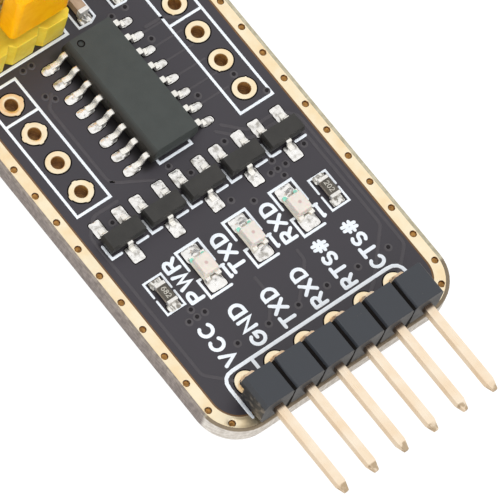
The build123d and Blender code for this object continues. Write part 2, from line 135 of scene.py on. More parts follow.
class Finish:
    """A material being made. Constants go to the shader's own sockets by name."""

    def __init__(self, name, **constants):
        self.material = bpy.data.materials.new(name)
        self.material.use_nodes = True
        self.tree = self.material.node_tree
        self.shader = self.tree.nodes["Principled BSDF"]
        for socket, value in constants.items():
            self.shader.inputs[socket.replace("_", " ")].default_value = value
        self.place = self.node("ShaderNodeTexCoord", output="Object")

    def node(self, kind, settings=None, inputs=None, output=0):
        """Any node: its type, its settings, its sockets' values or links, and its output."""
        node = self.tree.nodes.new(kind)
        for setting, value in (settings or {}).items():
            setattr(node, setting, value)
        for socket, value in (inputs or {}).items():
            if isinstance(value, Value):
                self.tree.links.new(value.socket, node.inputs[socket])
            else:
                node.inputs[socket].default_value = value
        return Value(self, node.outputs[output])

    def noise(self, size, detail=2.0, stretch=(1, 1, 1), seed=0.0):
        """Cloudy noise from 0 to 1 whose spots are about size millimetres across."""
        place = self.node("ShaderNodeMapping", {}, {"Vector": self.place, "Scale": stretch})
        inputs = {"Vector": place, "Scale": 1 / (size * MM), "Detail": detail, "W": seed}
        return self.node("ShaderNodeTexNoise", {"noise_dimensions": "4D"}, inputs)

    def between(self, value, low, high, start=0.0, end=1.0):
        """value taken smoothly from the range low to high into the range start to end."""
        inputs = {"Value": value, 1: low, 2: high, 3: start, 4: end}
        return self.node("ShaderNodeMapRange", {"interpolation_type": "SMOOTHSTEP"}, inputs)

    def along(self, axis):
        """The object coordinate X, Y or Z, in metres."""
        return self.node("ShaderNodeSeparateXYZ", {}, {0: self.place}, axis)

    def ramp(self, axis, low, high, start=0.0, end=1.0):
        """A smooth change from start to end between two places on an axis, in mm."""
        return self.between(self.along(axis), low * MM, high * MM, start, end)

    def past(self, axis, place):
        """1 beyond a place on an axis, in mm, and 0 before it."""
        return self.along(axis) > place * MM

    def blend(self, share, first, second):
        """Colour first where share is 0 and second where it is 1."""
        return self.node("ShaderNodeMix", {"data_type": "RGBA"}, {0: share, 6: first, 7: second}, 2)

    def bump(self, height, depth):
        """Surface tilt from a height between 0 and 1 that stands for depth millimetres."""
        inputs = {"Strength": 1.0, "Distance": depth * MM, "Height": height}
        return self.node("ShaderNodeBump", {}, inputs)

    def paint(self, **sockets):
        """Links values to the shader, and gives back the finished material."""
        for socket, value in sockets.items():
            self.tree.links.new(value.socket, self.shader.inputs[socket.replace("_", " ")])
        return self.material


def rgb(red, green, blue):
    """A colour as seen on a screen, from 0 to 255, as the linear colour that shaders use."""
    screen = np.array([red, green, blue]) / 255
    linear = np.where(screen <= 0.04045, screen / 12.92, ((screen + 0.055) / 1.055) ** 2.4)
    return (*(float(channel) for channel in linear), 1.0)


print("shader helpers ready")

# %% [markdown]
# Many finishes need no more than two tones that drift into each other. Those of moulded plastic
# have a fine grain as well, and their shine drifts with the tone.

# %% Common finishes


def clouded(name, size, first, second, depth=0.0, stretch=(1, 1, 1), **constants):
    """Two tones in clouds of size millimetres, which also rise and fall by depth."""
    finish = Finish(name, **constants)
    cloud = finish.noise(size, 2, stretch)
    if depth:
        finish.paint(Normal=finish.bump(cloud, depth))
    return finish.paint(Base_Color=finish.blend(cloud, first, second))


def moulded(name, first, second, rough, grain=0.06, depth=0.01, specular=0.5, **constants):
    """A plastic with a cloudy tone, a fine moulded grain and a few flow marks."""
    finish = Finish(name, Specular_IOR_Level=specular, **constants)
    cloud = finish.noise(0.9, 3)
    fine = finish.noise(grain, 2)
    return finish.paint(
        Base_Color=finish.blend(finish.between(cloud, 0.3, 0.7), first, second),
        Roughness=finish.between(cloud, 0.3, 0.7, rough - 0.05, rough + 0.05),
        Normal=finish.bump(fine * 0.7 + cloud * 0.3, depth),
    )


def dress(names, material, round_edge=0.0):
    """Gives CAD nodes a finish, and rounds their edges by round_edge millimetres."""
    for name in names:
        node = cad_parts[name]
        node.data.materials.clear()
        node.data.materials.append(material)
        if round_edge:
            weld = node.modifiers.new("join triangles", "WELD")
            weld.merge_threshold = 0.001 * MM
            bevel = node.modifiers.new("round edges", "BEVEL")
            bevel.width = round_edge * MM
            bevel.segments = 3
            bevel.limit_method = "ANGLE"
            bevel.angle_limit = math.radians(30)
    print("dressed", ", ".join(names))


# %% [markdown]
# ## Floor and light
#
# The photograph has a white background and light from all around. Three soft lamps and an even
# sky do this. The floor glows white to the camera and to reflections by its own Light Path
# test, and still shows a shadow of the board, because only a part of its colour is switched.

# %% Floor
floor_half = 3.0
floor_mesh = bpy.data.meshes.new("floor")
floor_corners = np.array([[-1, -1, 0], [1, -1, 0], [1, 1, 0], [-1, 1, 0]]) * floor_half
floor_mesh.from_pydata(floor_corners.tolist(), [], [(0, 1, 2, 3)])
floor = bpy.data.objects.new("floor", floor_mesh)
bpy.context.scene.collection.objects.link(floor)

paper = Finish("pale floor", Roughness=0.9, Specular_IOR_Level=0.1)
paper.paint(Base_Color=paper.blend(paper.noise(4.0), rgb(238, 238, 238), rgb(242, 242, 242)))
seen, mirrored, through = (
    paper.node("ShaderNodeLightPath", output=f"Is {kind} Ray")
    for kind in ("Camera", "Glossy", "Transmission")
)
glow_tone = paper.blend(mirrored, rgb(255, 255, 255), rgb(216, 210, 202))
glow_strength, glow_share = 1.12, 0.85
glow = paper.node("ShaderNodeEmission", {}, {"Color": glow_tone, "Strength": glow_strength})
switched = paper.between(seen + mirrored + through, 0.0, 1.0, 0.0, glow_share)
surface = paper.node(
    "ShaderNodeMixShader", {}, {0: switched, 1: Value(paper, paper.shader.outputs[0]), 2: glow})
paper.tree.links.new(surface.socket, paper.tree.nodes["Material Output"].inputs["Surface"])
floor_mesh.materials.append(paper.material)
print("floor", floor_half * 2, "m wide")

# %% Lamps and sky
world = bpy.data.worlds.new("studio sky")
world.use_nodes = True
bpy.context.scene.world = world
sky = world.node_tree.nodes["Background"]
sky_rays, sky_sum, sky_strength = (
    world.node_tree.nodes.new(f"ShaderNode{kind}") for kind in ("LightPath", "Math", "MapRange")
)
sky_diffuse, sky_reflected = 0.62, 1.0
sky_strength.inputs["To Min"].default_value = sky_diffuse
sky_strength.inputs["To Max"].default_value = sky_reflected
sky_links = world.node_tree.links
sky_links.new(sky_rays.outputs["Is Camera Ray"], sky_sum.inputs[0])
sky_links.new(sky_rays.outputs["Is Glossy Ray"], sky_sum.inputs[1])
sky_links.new(sky_sum.outputs[0], sky_strength.inputs["Value"])
sky_links.new(sky_strength.outputs[0], sky.inputs["Strength"])
sky.inputs["Color"].default_value = (1, 1, 1, 1)


def softbox(name, place, size, power):
    """A square lamp at place that faces the middle of the scene, in metres and watts."""
    lamp = bpy.data.objects.new(name, bpy.data.lights.new(name, "AREA"))
    lamp.data.size, lamp.data.energy = size, power
    lamp.location = place
    lamp.rotation_euler = (-Vector(place)).to_track_quat("-Z", "Y").to_euler()
    lamp.visible_glossy = False
    bpy.context.scene.collection.objects.link(lamp)


softbox("key lamp", (-0.05, 0.3, 0.75), 0.45, 3.2)
softbox("fill lamp", (0.5, -0.1, 0.6), 0.4, 0.5)
softbox("front lamp", (0.5, -0.55, 0.3), 0.5, 3.6)
print("sky", sky_diffuse, "and three lamps")

# %% [markdown]
# ## Surfaces from arrays
#
# Each new shape is a grid of points: one direction of the grid follows a profile, the other a
# path or a circle. A piece may hold many such grids. Each is closed, so that welding doubled
# points and turning the faces outwards leaves a clean solid.

# %% Mesh helpers


def piece(name, grids, material):
    """One object on the board from grids of points in millimetres.

    Each grid is (points, wrap_rows, wrap_columns), with points of shape rows x columns x 3.
    A wrapped direction joins its last line of points to its first.
    """
    points, quads, start = [], [], 0
    for grid, wrap_rows, wrap_columns in grids:
        index = np.arange(grid.shape[0] * grid.shape[1]).reshape(grid.shape[:2]) + start
        start += index.size
        if wrap_rows:
            index = np.vstack([index, index[:1]])
        if wrap_columns:
            index = np.hstack([index, index[:, :1]])
        corners = (index[:-1, :-1], index[1:, :-1], index[1:, 1:], index[:-1, 1:])
        quads.append(np.stack(corners, axis=-1).reshape(-1, 4))
        points.append(grid.reshape(-1, 3))
    mesh = bpy.data.meshes.new(name)
    mesh.from_pydata((np.vstack(points) * MM).tolist(), [], np.vstack(quads).tolist())
    shell = bmesh.new()
    shell.from_mesh(mesh)
    bmesh.ops.remove_doubles(shell, verts=shell.verts, dist=0.0002 * MM)
    bmesh.ops.dissolve_degenerate(shell, edges=shell.edges, dist=0.0001 * MM)
    bmesh.ops.recalc_face_normals(shell, faces=shell.faces)
    shell.to_mesh(mesh)
    shell.free()
    mesh.shade_smooth()
    mesh.set_sharp_from_angle(angle=math.radians(35))
    mesh.materials.append(material)
    thing = bpy.data.objects.new(name, mesh)
    bpy.context.scene.collection.objects.link(thing)
    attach(thing, "board_assembly")
    print(name, len(mesh.polygons), "faces")
    return thing


def spread(*columns):
    """Arrays of the same or broadcastable shape, put together as points."""
    return np.stack(np.broadcast_arrays(*columns), axis=-1).astype(float)


def column(*values):
    """The values one below the other, to be combined with a row."""
    return np.array(values)[:, None]


def there_and_back(*values):
    """A column of the values in order and then in reverse."""
    return column(*values, *values[::-1])


def both_faces(*rise):
    """Heights over the upper face, and then the same ones under the lower face, in reverse."""
    rise = np.array(rise)
    return column(*(board_top + rise), *(board_bottom - rise)[::-1])


def circle_angles(count):
    """count angles once round, as a row."""
    return np.linspace(0, 2 * np.pi, count, endpoint=False)[None, :]


def turned(x, y, radius, height, angle):
    """Points at a radius and a height, at each angle round the upright line through (x, y)."""
    return spread(x + radius * np.cos(angle), y + radius * np.sin(angle), height)


# %% [markdown]
# ## The board
#
# Solder mask is a thin glossy lacquer over woven glass, so it is nearly black, a little violet
# and faintly uneven. A deep shadow is painted into it between the leads on the near side of the
# chip.

# %% Solder mask
mask = Finish("charcoal solder mask", Roughness=0.4)
mask_cloud = mask.noise(3.5, 3)
mask_peel = mask.noise(0.35, 2)
mask_weave = mask.noise(0.12, 2, (1, 4, 1)) * 0.5 + mask.noise(0.12, 2, (4, 1, 1), 3.0) * 0.5
chip_low, chip_high = box_mm("serial_chip_body")
# Painted shadow on the mask between the leads on the near side of the chip.
chip_lead_shadow = mask.ramp(Y, chip_low[Y] - 1.1, chip_low[Y] - 0.2, 0.0, 0.8)
chip_lead_shadow *= mask.ramp(X, chip_low[X] - 0.6, chip_low[X])
chip_lead_shadow *= mask.ramp(X, chip_high[X], chip_high[X] + 0.4, 1.0, 0.0)
chip_lead_shadow *= mask.ramp(Y, chip_low[Y], chip_low[Y] + 1.0, 1.0, 0.0)
chip_lead_shadow *= mask.past(Z, board_top - 0.2)
mask_tone = mask.blend(mask_cloud, rgb(43, 41, 46), rgb(55, 51, 57))
solder_mask = mask.paint(
    Base_Color=mask.blend(chip_lead_shadow, mask_tone, rgb(12, 10, 8)),
    Roughness=mask.between(mask_cloud, 0.3, 0.7, 0.34, 0.46),
    Normal=mask.bump(mask_peel * 0.7 + mask_weave * 0.3, 0.006),
)
dress(["circuit_board"], solder_mask)

# %% Gold plating
gold = Finish("gold plating", Metallic=1.0)
gold_stain = gold.noise(1.2, 3)
gold_grain = gold.noise(0.08, 2)
gold_plating = gold.paint(
    Base_Color=gold.blend(
        gold.between(gold_stain, 0.3, 0.75), rgb(255, 241, 210), rgb(252, 227, 184)),
    Roughness=gold.between(gold_grain, 0.2, 0.8, 0.3, 0.42),
    Normal=gold.bump(gold_grain * 0.6 + gold_stain * 0.4, 0.004),
)

# %% [markdown]
# The laminate's edge shows its layers and fibres. It is paler at the ends than along the sides,
# and just below the upper face it has another tone, olive-tan along the +Y side and dark brown
# at the header end.

# %% Laminate
laminate = Finish("glass laminate edge", Roughness=0.7)
layers = laminate.noise(0.09, 3, (0.15, 0.15, 1.0))
fibres = laminate.noise(0.25, 3, (1.0, 1.0, 0.4))
strands = laminate.between(layers * 0.6 + fibres * 0.4, 0.35, 0.65)
end_wall = laminate.ramp(X, board_half_length - 0.4, board_half_length - 0.05)
milled = laminate.blend(strands, rgb(108, 99, 95), rgb(146, 136, 130))
pale_end = laminate.blend(strands, rgb(176, 168, 158), rgb(220, 215, 207))
milled = laminate.blend(end_wall * 0.85, milled, pale_end)
# Another tone just below the upper face: olive-tan along the +Y side, dark brown at the header end.
upper_band = laminate.blend(strands, rgb(160, 152, 128), rgb(190, 182, 158))
upper_band = laminate.blend(end_wall * 0.9, upper_band, rgb(112, 97, 78))
upper_band_side = laminate.ramp(Y, -9, -5, 0.12, 1.0)
upper_band_height = laminate.ramp(Z, board_top - 0.22, board_top - 0.12)
laminate_edge = laminate.paint(
    Base_Color=laminate.blend((upper_band_side + end_wall) * upper_band_height, milled, upper_band),
    Normal=laminate.bump(layers * 0.5 + fibres * 0.5, 0.02),
)

# %% [markdown]
# ## The gold rim
#
# A bare copper strip, plated with gold, runs along both long sides and round the corners. A row
# of small plated holes stitches its upper and lower face together. Cut into one cell per hole,
# the strip is simple: each cell is a rectangle with a round hole, and a rectangle and a circle
# can be joined ring by ring. A second function bends the straight strip round the corners.

# %% Rim strip
rim_inset = 0.46
rim_via_pitch, rim_via_shift, rim_via_count = 2.315, 0.15, 16
rim_edges = (0.17, 0.96)
rim_turn = board_corner - rim_inset
rim_straight = board_half_length - board_corner
rim_hole = 0.245
plating = 0.02


def along_rim(distance, inset, side):
    """Bends a straight strip round the board.

    distance runs along the line of the vias, from 0 at the middle of the long side. Past the
    straight part the line turns through a quarter circle and then follows the short side.
    inset is measured from the board's edge, across the strip.
    """
    turn = np.clip((np.abs(distance) - rim_straight) / rim_turn, 0, np.pi / 2)
    rest = np.maximum(np.abs(distance) - rim_straight - rim_turn * np.pi / 2, 0)
    forward = np.minimum(np.abs(distance), rim_straight) + rim_turn * np.sin(turn)
    across = board_half_width - rim_inset - rim_turn * (1 - np.cos(turn)) - rest
    out = rim_inset - inset
    x = np.sign(distance) * (forward + out * np.sin(turn))
    return board_mid + x, side * (across + out * np.cos(turn))


def rim_cell(start, end, via, side):
    """One cell of the strip with its plated hole, as a closed ring of rings.

    Points go round the cell's rectangle, each with a partner on the hole's circle in the same
    direction from its middle. A ring at share f lies f of the way from the circle out to the
    rectangle. The rings run over the top, down the hole, and back along the underside.
    """
    step = np.linspace(0, 1, 9)[:-1]
    low, high = rim_edges
    distance = np.concatenate([
        start + (end - start) * step, end + 0 * step, end + (start - end) * step, start + 0 * step])
    inset = np.concatenate([
        low + 0 * step, low + (high - low) * step, high + 0 * step, high + (low - high) * step])
    angle = np.arctan2(inset - rim_inset, distance - via)
    share = there_and_back(1, 1, 0.5, 0, 0, 0)
    radius = rim_hole + there_and_back(0, 0, 0.04, 0.04, 0.012, 0)
    height = both_faces(-0.05, plating, plating, plating, 0.008, -0.03)
    circle_d = via + radius * np.cos(angle)
    circle_i = rim_inset + radius * np.sin(angle)
    x, y = along_rim(
        circle_d + share * (distance - circle_d), circle_i + share * (inset - circle_i), side)
    return spread(x, y, height), True, True


rim_vias = rim_via_shift + (np.arange(rim_via_count) - (rim_via_count - 1) / 2) * rim_via_pitch
corner_via = rim_straight + rim_turn * np.pi / 4
rim_vias = np.concatenate([[-corner_via], rim_vias, [corner_via]])
rim_end = rim_straight + rim_turn * np.pi / 2 + 0.15
rim_bounds = np.concatenate([[-rim_end], (rim_vias[1:] + rim_vias[:-1]) / 2, [rim_end]])
rim_cells = [
    rim_cell(start, end, via, side)
    for side in (-1, 1)
    for start, end, via in zip(rim_bounds[:-1], rim_bounds[1:], rim_vias)
]
piece("rim_plating", rim_cells, gold_plating)

# %% [markdown]
# The board is cut out with a milling cutter, which leaves the glass laminate bare along the
# side and breaks its edges a little. One profile of that side, carried once round the outline,
# covers the flat chamfer of the CAD solid.

# %% Board side
side_turn = np.linspace(0, np.pi / 2, 7)
side_round, side_out, side_deep, side_lift = 0.2, 0.015, 0.21, 0.006
outline_slip = 0.16
side_in = side_round - (side_round + side_out) * np.sin(side_turn)
side_drop = (side_round + side_lift) * np.cos(side_turn)
side_profile_in = there_and_back(side_deep, side_deep, *side_in)[:, 0]
side_profile_z = np.concatenate([
    [board_top - 0.3, board_top + side_lift], board_top - side_round + side_drop,
    (board_bottom + side_round - side_drop)[::-1], [board_bottom - side_lift, board_bottom + 0.3]])


def board_outline(inset, count=12):
    """Points once round the board's rounded rectangle, moved in by inset.

    Each corner is a quarter circle of radius board_corner less the inset, and straight sides
    join the corners. The cutter ran outline_slip further out on the +Y side than the printed
    strip. Rows follow inset, columns follow the outline.
    """
    quarter = np.linspace(0, np.pi / 2, count)
    angle = np.concatenate([quarter + k * np.pi / 2 for k in range(4)])[None, :]
    middle_x = (board_half_length - board_corner) * np.repeat([1, -1, -1, 1], count)[None, :]
    middle_y = (board_half_width - board_corner) * np.repeat([1, 1, -1, -1], count)[None, :]
    middle_y = middle_y + outline_slip * (middle_y > 0) * (inset < side_deep)[:, None]
    radius = board_corner - inset[:, None]
    return board_mid + middle_x + radius * np.cos(angle), middle_y + radius * np.sin(angle)


side_grid = spread(*board_outline(side_profile_in), side_profile_z[:, None])
piece("board_side", [(side_grid, True, True)], laminate_edge)

# %% [markdown]
# ## Plated holes
#
# A pad is a ring of gold on the board that carries on down the hole and out again below. Some
# pads have stubs, where a track or the copper plane around them is joined. The outline is an
# oval whose radius grows for a moment in each of those directions.

# %% Pads
hole_x = np.array([2.81, 0.27, -2.27, -4.81])
side_row_y = 6.95
pad_rise, stub_reach = 0.03, 0.07
header_leg_x, header_y = 19.81, (np.arange(6) - 2.5) * 2.54
jumper_x, jumper_y = -8.39, np.array([-1.70, -4.24, -6.78])
contact_x, contact_y = -10.66, np.array([-3.5, -1.0, 1.0, 3.5])


def pad(x, y, half_x, half_y, hole, stubs=(), half_stub=0.24):
    """A pad and its hole, closed round the board's thickness.

    The outline's radius at an angle is that of an ellipse, and it grows by stub_reach within
    half_stub of each of the angles in stubs, which are in degrees. Rings go over the top, down
    the barrel and back below.
    """
    angle = circle_angles(90)
    outline = half_x * half_y / np.hypot(half_y * np.cos(angle), half_x * np.sin(angle))
    for stub in stubs:
        away = np.abs((angle - math.radians(stub) + np.pi) % (2 * np.pi) - np.pi)
        outline = outline + stub_reach * np.clip((half_stub - away) / 0.08, 0, 1)
    share = there_and_back(1, 1, 0.97, 0.5, 0, 0, 0)
    ring = hole + there_and_back(0, 0, 0, 0.06, 0.05, 0.015, 0)
    height = both_faces(-0.05, 0.012, pad_rise, pad_rise, pad_rise, 0.01, -0.04)
    return turned(x, y, ring + share * (outline - ring), height, angle), True, True


crosswise = (0, 90, 180, 270)
side_pads = [
    pad(x, side * side_row_y, 0.81, 0.885, 0.468, stubs, half_stub)
    for side, half_stub, row in (
        (-1, 0.24, (crosswise, (), crosswise, (0, 90))),
        (1, 0.1, ((135,), (-45,), (-90,), (-45,))))
    for x, stubs in zip(hole_x, row)
]
piece("side_pads", side_pads, gold_plating)
header_pads = [pad(header_leg_x, y, 0.9, 0.82, 0.47) for y in header_y]
piece("header_pads", header_pads, gold_plating)
hidden_pads = [pad(jumper_x, y, 0.85, 0.85, 0.48) for y in jumper_y]
hidden_pads += [pad(contact_x, y, 0.8, 0.8, 0.52) for y in contact_y]
piece("hidden_pads", hidden_pads, gold_plating)

# %% [markdown]
# ## Ink lines
#
# The white legend is printed in a thick ink, which stands a few hundredths of a millimetre above
# the mask. A line is a low profile carried along a path. At a corner its edges meet in a mitre,
# and the ends are round: past each end point the line goes on, and narrows as a circle does.

# %% Ribbons
INK = 0.022


def round_ends(path, half):
    """path with points added past both ends, and the half width at each point.

    A point at distance d past an end has the half width sqrt(half^2 - d^2), as on a circle.
    """
    turn = np.linspace(0, np.pi / 2, 5)[1:]
    reach, width = half * np.sin(turn)[:, None], half * np.cos(turn)
    first = (path[0] - path[1]) / np.linalg.norm(path[0] - path[1])
    last = (path[-1] - path[-2]) / np.linalg.norm(path[-1] - path[-2])
    points = np.vstack([(path[0] + first * reach)[::-1], path, path[-1] + last * reach])
    return points, np.concatenate([width[::-1], np.full(len(path), half), width])


def ribbon(path, width, height=INK, base=None, loop=False, rounded=True):
    """A flat line of ink along a path of X, Y points, as a closed grid.

    The direction at a point is the mean of the runs on both sides, and the line's edges lie on
    the normal to it, further out by one over the cosine of half the turn, which is the mitre.
    """
    path = np.asarray(path, float)
    half = np.full(len(path), width / 2)
    if rounded and not loop:
        path, half = round_ends(path, width / 2)
    ahead = np.roll(path, -1, axis=0) - path
    behind = path - np.roll(path, 1, axis=0)
    if not loop:
        ahead[-1], behind[0] = behind[-1], ahead[0]
    ahead /= np.linalg.norm(ahead, axis=1)[:, None]
    behind /= np.linalg.norm(behind, axis=1)[:, None]
    middle = ahead + behind
    middle /= np.linalg.norm(middle, axis=1)[:, None]
    mitre = 1 / np.maximum((middle * ahead).sum(axis=1), 0.5)
    normal = np.stack([-middle[:, 1], middle[:, 0]], axis=1) * mitre[:, None]
    share = np.array([1.0, 0.97, 0.8, -0.8, -0.97, -1.0, -1.0, 1.0])
    level = np.array([0, 0.6, 1.0, 1.0, 0.6, 0, -0.5, -0.5]) * height
    edge = path[:, None, :] + normal[:, None, :] * (share[None, :] * half[:, None])[:, :, None]
    ground = board_top if base is None else base
    return spread(edge[..., 0], edge[..., 1], ground + level[None, :]), loop, True


def rounded_path(corners, radius, loop=False, count=5):
    """A path whose corners are replaced by arcs.

    Each arc is a quadratic curve from radius before the corner to radius after it, with the
    corner as its middle control point.
    """
    corners = np.asarray(corners, float)
    t = np.linspace(0, 1, count)[:, None]
    parts = []
    for k, corner in enumerate(corners):
        if not loop and k in (0, len(corners) - 1):
            parts.append(corner[None, :])
            continue
        before, after = corners[k - 1] - corner, corners[(k + 1) % len(corners)] - corner
        before = corner + before / np.linalg.norm(before) * radius
        after = corner + after / np.linalg.norm(after) * radius
        parts.append((1 - t) ** 2 * before + 2 * t * (1 - t) * corner + t ** 2 * after)
    return np.vstack(parts)


ink = Finish("white legend ink", Roughness=0.55)
legend_ink = ink.paint(
    Base_Color=ink.blend(ink.noise(0.5, 2), rgb(236, 241, 246), rgb(217, 223, 230)),
    Normal=ink.bump(ink.noise(0.07, 2), 0.01),
)

# %% [markdown]
# Every line of the legend is written down as its path, with X towards the header and Y across.

# %% Legend lines
led_x, led_y = 11.74, np.array([-3.58, 0.41, 4.40])
resistor_x, resistor_y = 11.85, 6.96
transistor_x, transistor_y = 7.01, (np.arange(5) - 2) * 3.375
legend = []


def ink_line(width, *corners, x=0.0, y=0.0, radius=0.0, loop=False, lift=0.0):
    """Adds one line to the legend. Its corners are counted from (x, y), rounded by radius."""
    path = np.array([(x + right, y + up) for right, up in corners])
    path = rounded_path(path, radius, loop) if radius else path
    legend.append(ribbon(path, width, INK + lift, loop=loop))


ink_line(0.27, (21.9, -7.56), (18.58, -7.56), (18.58, 7.56), (21.9, 7.56), radius=0.95)
ink_line(0.26, (18.66, -5.04), (19.4, -5.04), lift=0.004)
for side in (-1, 1):
    ink_line(0.2, (4.17, side * 5.55), (4.17, side * 8.32), (-6.24, side * 8.32),
             (-6.24, side * 5.55), loop=True)
    ink_line(0.2, (-3.62, side * 5.65), (-3.62, side * 8.22), lift=0.004)
    for end in (-1, 1):
        ink_line(0.16, (end * 0.16, -0.725), (end * 1.31, -0.725), (end * 1.31, 0.725),
                 (end * 0.16, 0.725), x=resistor_x + side * 0.085, y=side * resistor_y)
for y in led_y:
    at = {"x": led_x, "y": y}
    ink_line(0.2, (-0.4, -0.94), (-1.88, -0.94), (-1.88, 0.95), (-0.1, 0.95), **at)
    ink_line(0.2, (0.52, -0.72), (0.52, -0.94), (1.95, -0.94), (1.95, 0.8), **at)
    ink_line(0.25, (0.5, 1.12), (1.5, 1.12), **at)
    ink_line(0.2, (0.5, 0.94), (0.5, 1.24), lift=0.004, **at)
    ink_line(0.25, (1.5, 1.12), (1.45, 1.22), lift=0.004, **at)
for y in transistor_y:
    ink_line(0.2, (6.8, -1.5), (7.85, -1.5), (7.85, -0.72), y=y)
    ink_line(0.2, (7.85, 0.62), (7.85, 1.48), y=y)
ink_line(0.2, (3.82, -1.3), (4.08, -1.3), (4.08, 1.4), (3.82, 1.4))
ink_line(0.22, (-6.97, -8.0), (-6.97, -0.55), (-7.5, -0.55))
for y in (0.38, 3.31):
    ink_line(0.17, (-10.0, 0), (-6.86, 0), (-6.8, 0.95), (-7.05, 1.46), (-10.0, 1.46), y=y)
piece("legend_lines", legend, legend_ink)

# %% [markdown]
# The labels name what each pin and each light does. The letters are a small stroke font: straight
# runs and parts of ellipses in a box one unit high.

# %% Legend letters


def arc(x, y, half_x, half_y, start, end, count=11):
    """Points on an ellipse round (x, y), from angle start to angle end in degrees."""
    angle = np.radians(np.linspace(start, end, count))
    return np.stack([x + half_x * np.cos(angle), y + half_y * np.sin(angle)], axis=1)


def run(*points):
    """Straight runs through the points."""
    return np.array(points, float)


def joined(*paths):
    """Several paths as one stroke."""
    return np.vstack(paths)


stem = run((0, 0), (0, 1))
bowl = joined(run((0, 1)), arc(0.38, 0.74, 0.3, 0.26, 90, -90), run((0, 0.48)))
letters = {
    "V": (0.76, [run((0, 1), (0.38, 0), (0.76, 1))]),
    "C": (0.74, [arc(0.42, 0.5, 0.42, 0.5, 48, 312, 17)]),
    "G": (0.80, [joined(arc(0.42, 0.5, 0.42, 0.5, 48, 335, 18), run((0.82, 0.5), (0.5, 0.5)))]),
    "N": (0.70, [run((0, 0), (0, 1), (0.7, 0), (0.7, 1))]),
    "D": (0.72, [joined(stem, arc(0.28, 0.5, 0.44, 0.5, 90, -90, 13), run((0, 0)))]),
    "T": (0.76, [run((0, 1), (0.76, 1)), run((0.38, 1), (0.38, 0))]),
    "X": (0.76, [run((0, 1), (0.76, 0)), run((0, 0), (0.76, 1))]),
    "P": (0.68, [stem, bowl]),
    "R": (0.72, [stem, bowl, run((0.36, 0.48), (0.72, 0))]),
    "W": (1.0, [run((0, 1), (0.25, 0), (0.5, 0.85), (0.75, 0), (1, 1))]),
    "S": (0.68, [joined(arc(0.34, 0.75, 0.33, 0.25, 35, 265, 10),
                        arc(0.34, 0.25, 0.34, 0.25, 85, -145, 10))]),
    "#": (0.86, [run((0.22, 0), (0.34, 1)), run((0.56, 0), (0.68, 1)),
                 run((0, 0.32), (0.82, 0.32)), run((0.06, 0.68), (0.88, 0.68))]),
    "0": (0.62, [arc(0.31, 0.5, 0.31, 0.5, 90, 450, 19)]),
    "2": (0.62, [joined(arc(0.3, 0.7, 0.3, 0.3, 160, -35, 10), run((0, 0), (0.62, 0)))]),
    "6": (0.62, [arc(0.31, 0.31, 0.31, 0.31, 90, 450, 15),
                 run((0.03, 0.4), (0.1, 0.72), (0.3, 0.97), (0.54, 0.95))]),
    "8": (0.62, [arc(0.31, 0.27, 0.31, 0.27, 90, 450, 15),
                 arc(0.31, 0.77, 0.25, 0.23, 90, 450, 15)]),
}


def words(text, start, end, foot, head, stroke, spacing=0.42, base=None):
    """The strokes of a text fitted between two X and two Y values.

    The text reads from start to end along X, stretched to fill that length, and its letters
    stand from foot to head along Y. A stroke that comes back to its first point is a loop. Each
    further stroke of a letter is a little higher, so that one lies on the other where they cross.
    """
    grids, at = [], 0.0
    widths = [letters[character][0] for character in text]
    total = sum(widths) + spacing * (len(text) - 1)
    inset_x, inset_y = np.sign(end - start) * stroke, np.sign(head - foot) * stroke
    for character, width in zip(text, widths):
        for k, path in enumerate(letters[character][1]):
            x = start + inset_x / 2 + (at + path[:, 0]) / total * (end - start - inset_x)
            y = foot + inset_y / 2 + path[:, 1] * (head - foot - inset_y)
            loop = np.allclose(path[0], path[-1])
            line = np.stack([x, y], axis=1)[:len(path) - loop]
            grids.append(ribbon(line, stroke, INK + 0.004 * k, base, loop))
        at += width + spacing
    return grids


labels = []
for text, start, end, foot, head in (
    ("VCC", 18.26, 14.91, -5.68, -6.87),
    ("GND", 18.26, 14.86, -3.1, -4.35),
    ("TXD", 18.26, 15.16, -0.57, -1.83),
    ("RXD", 18.31, 15.11, 1.93, 0.72),
    ("RTS#", 18.31, 14.31, 4.45, 3.25),
    ("CTS#", 18.31, 14.31, 7.02, 5.8),
    ("PWR", 13.46, 9.89, -4.75, -5.95),
    ("TXD", 13.28, 10.19, -0.93, -2.15),
    ("RXD", 13.49, 10.24, 3.18, 1.98),
):
    labels += words(text, start, end, foot, head, 0.26)
piece("legend_letters", labels, legend_ink)

# %% [markdown]
# ## Holes
#
# Inside a plated hole the light bounces from wall to wall, and what comes out again is brown.
# A thin tube in each hole carries that darker, rougher gold, with the drill's faint rings. The
# small holes of the rim are filled a little below the face.

# %% Barrels
barrel_gold = Finish("gold in a hole", Metallic=0.6, Roughness=0.55)
drill_stretch = (0.3, 0.3, 1.5)
drill_rings = barrel_gold.noise(0.1, 2, drill_stretch)
hole_gold = barrel_gold.paint(
    Base_Color=barrel_gold.blend(
        barrel_gold.between(drill_rings, 0.3, 0.7), rgb(138, 98, 48), rgb(196, 146, 80)),
    Normal=barrel_gold.bump(drill_rings, 0.01),
)
via_wall = clouded("dark gold in a via", 0.1, rgb(104, 66, 30), rgb(128, 86, 44),
                   stretch=drill_stretch, Metallic=0.4, Roughness=0.6)
edge_shade_finish = clouded("shaded edge of the plating", 0.3, rgb(92, 66, 42), rgb(120, 88, 52),
                      Roughness=0.6)


def barrel(x, y, radius, count=32, taper=0.05):
    """A thin tube that lines a hole, narrower below by taper: four circles, joined round."""
    top, bottom = board_top - 0.06, board_bottom + 0.06
    wall = radius + column(0, -taper, 0.015, 0.015)
    return turned(x, y, wall, column(top, bottom, bottom, top), circle_angles(count)), True, True


def via_plug(x, y):
    """The filling of a rim hole: a shallow bowl, closed below."""
    radius, drop = column(0.001, 0.14, 0.24, 0.24, 0.001), column(0.17, 0.16, 0.1, 0.3, 0.3)
    return turned(x, y, radius, board_top - drop, circle_angles(16)), False, True


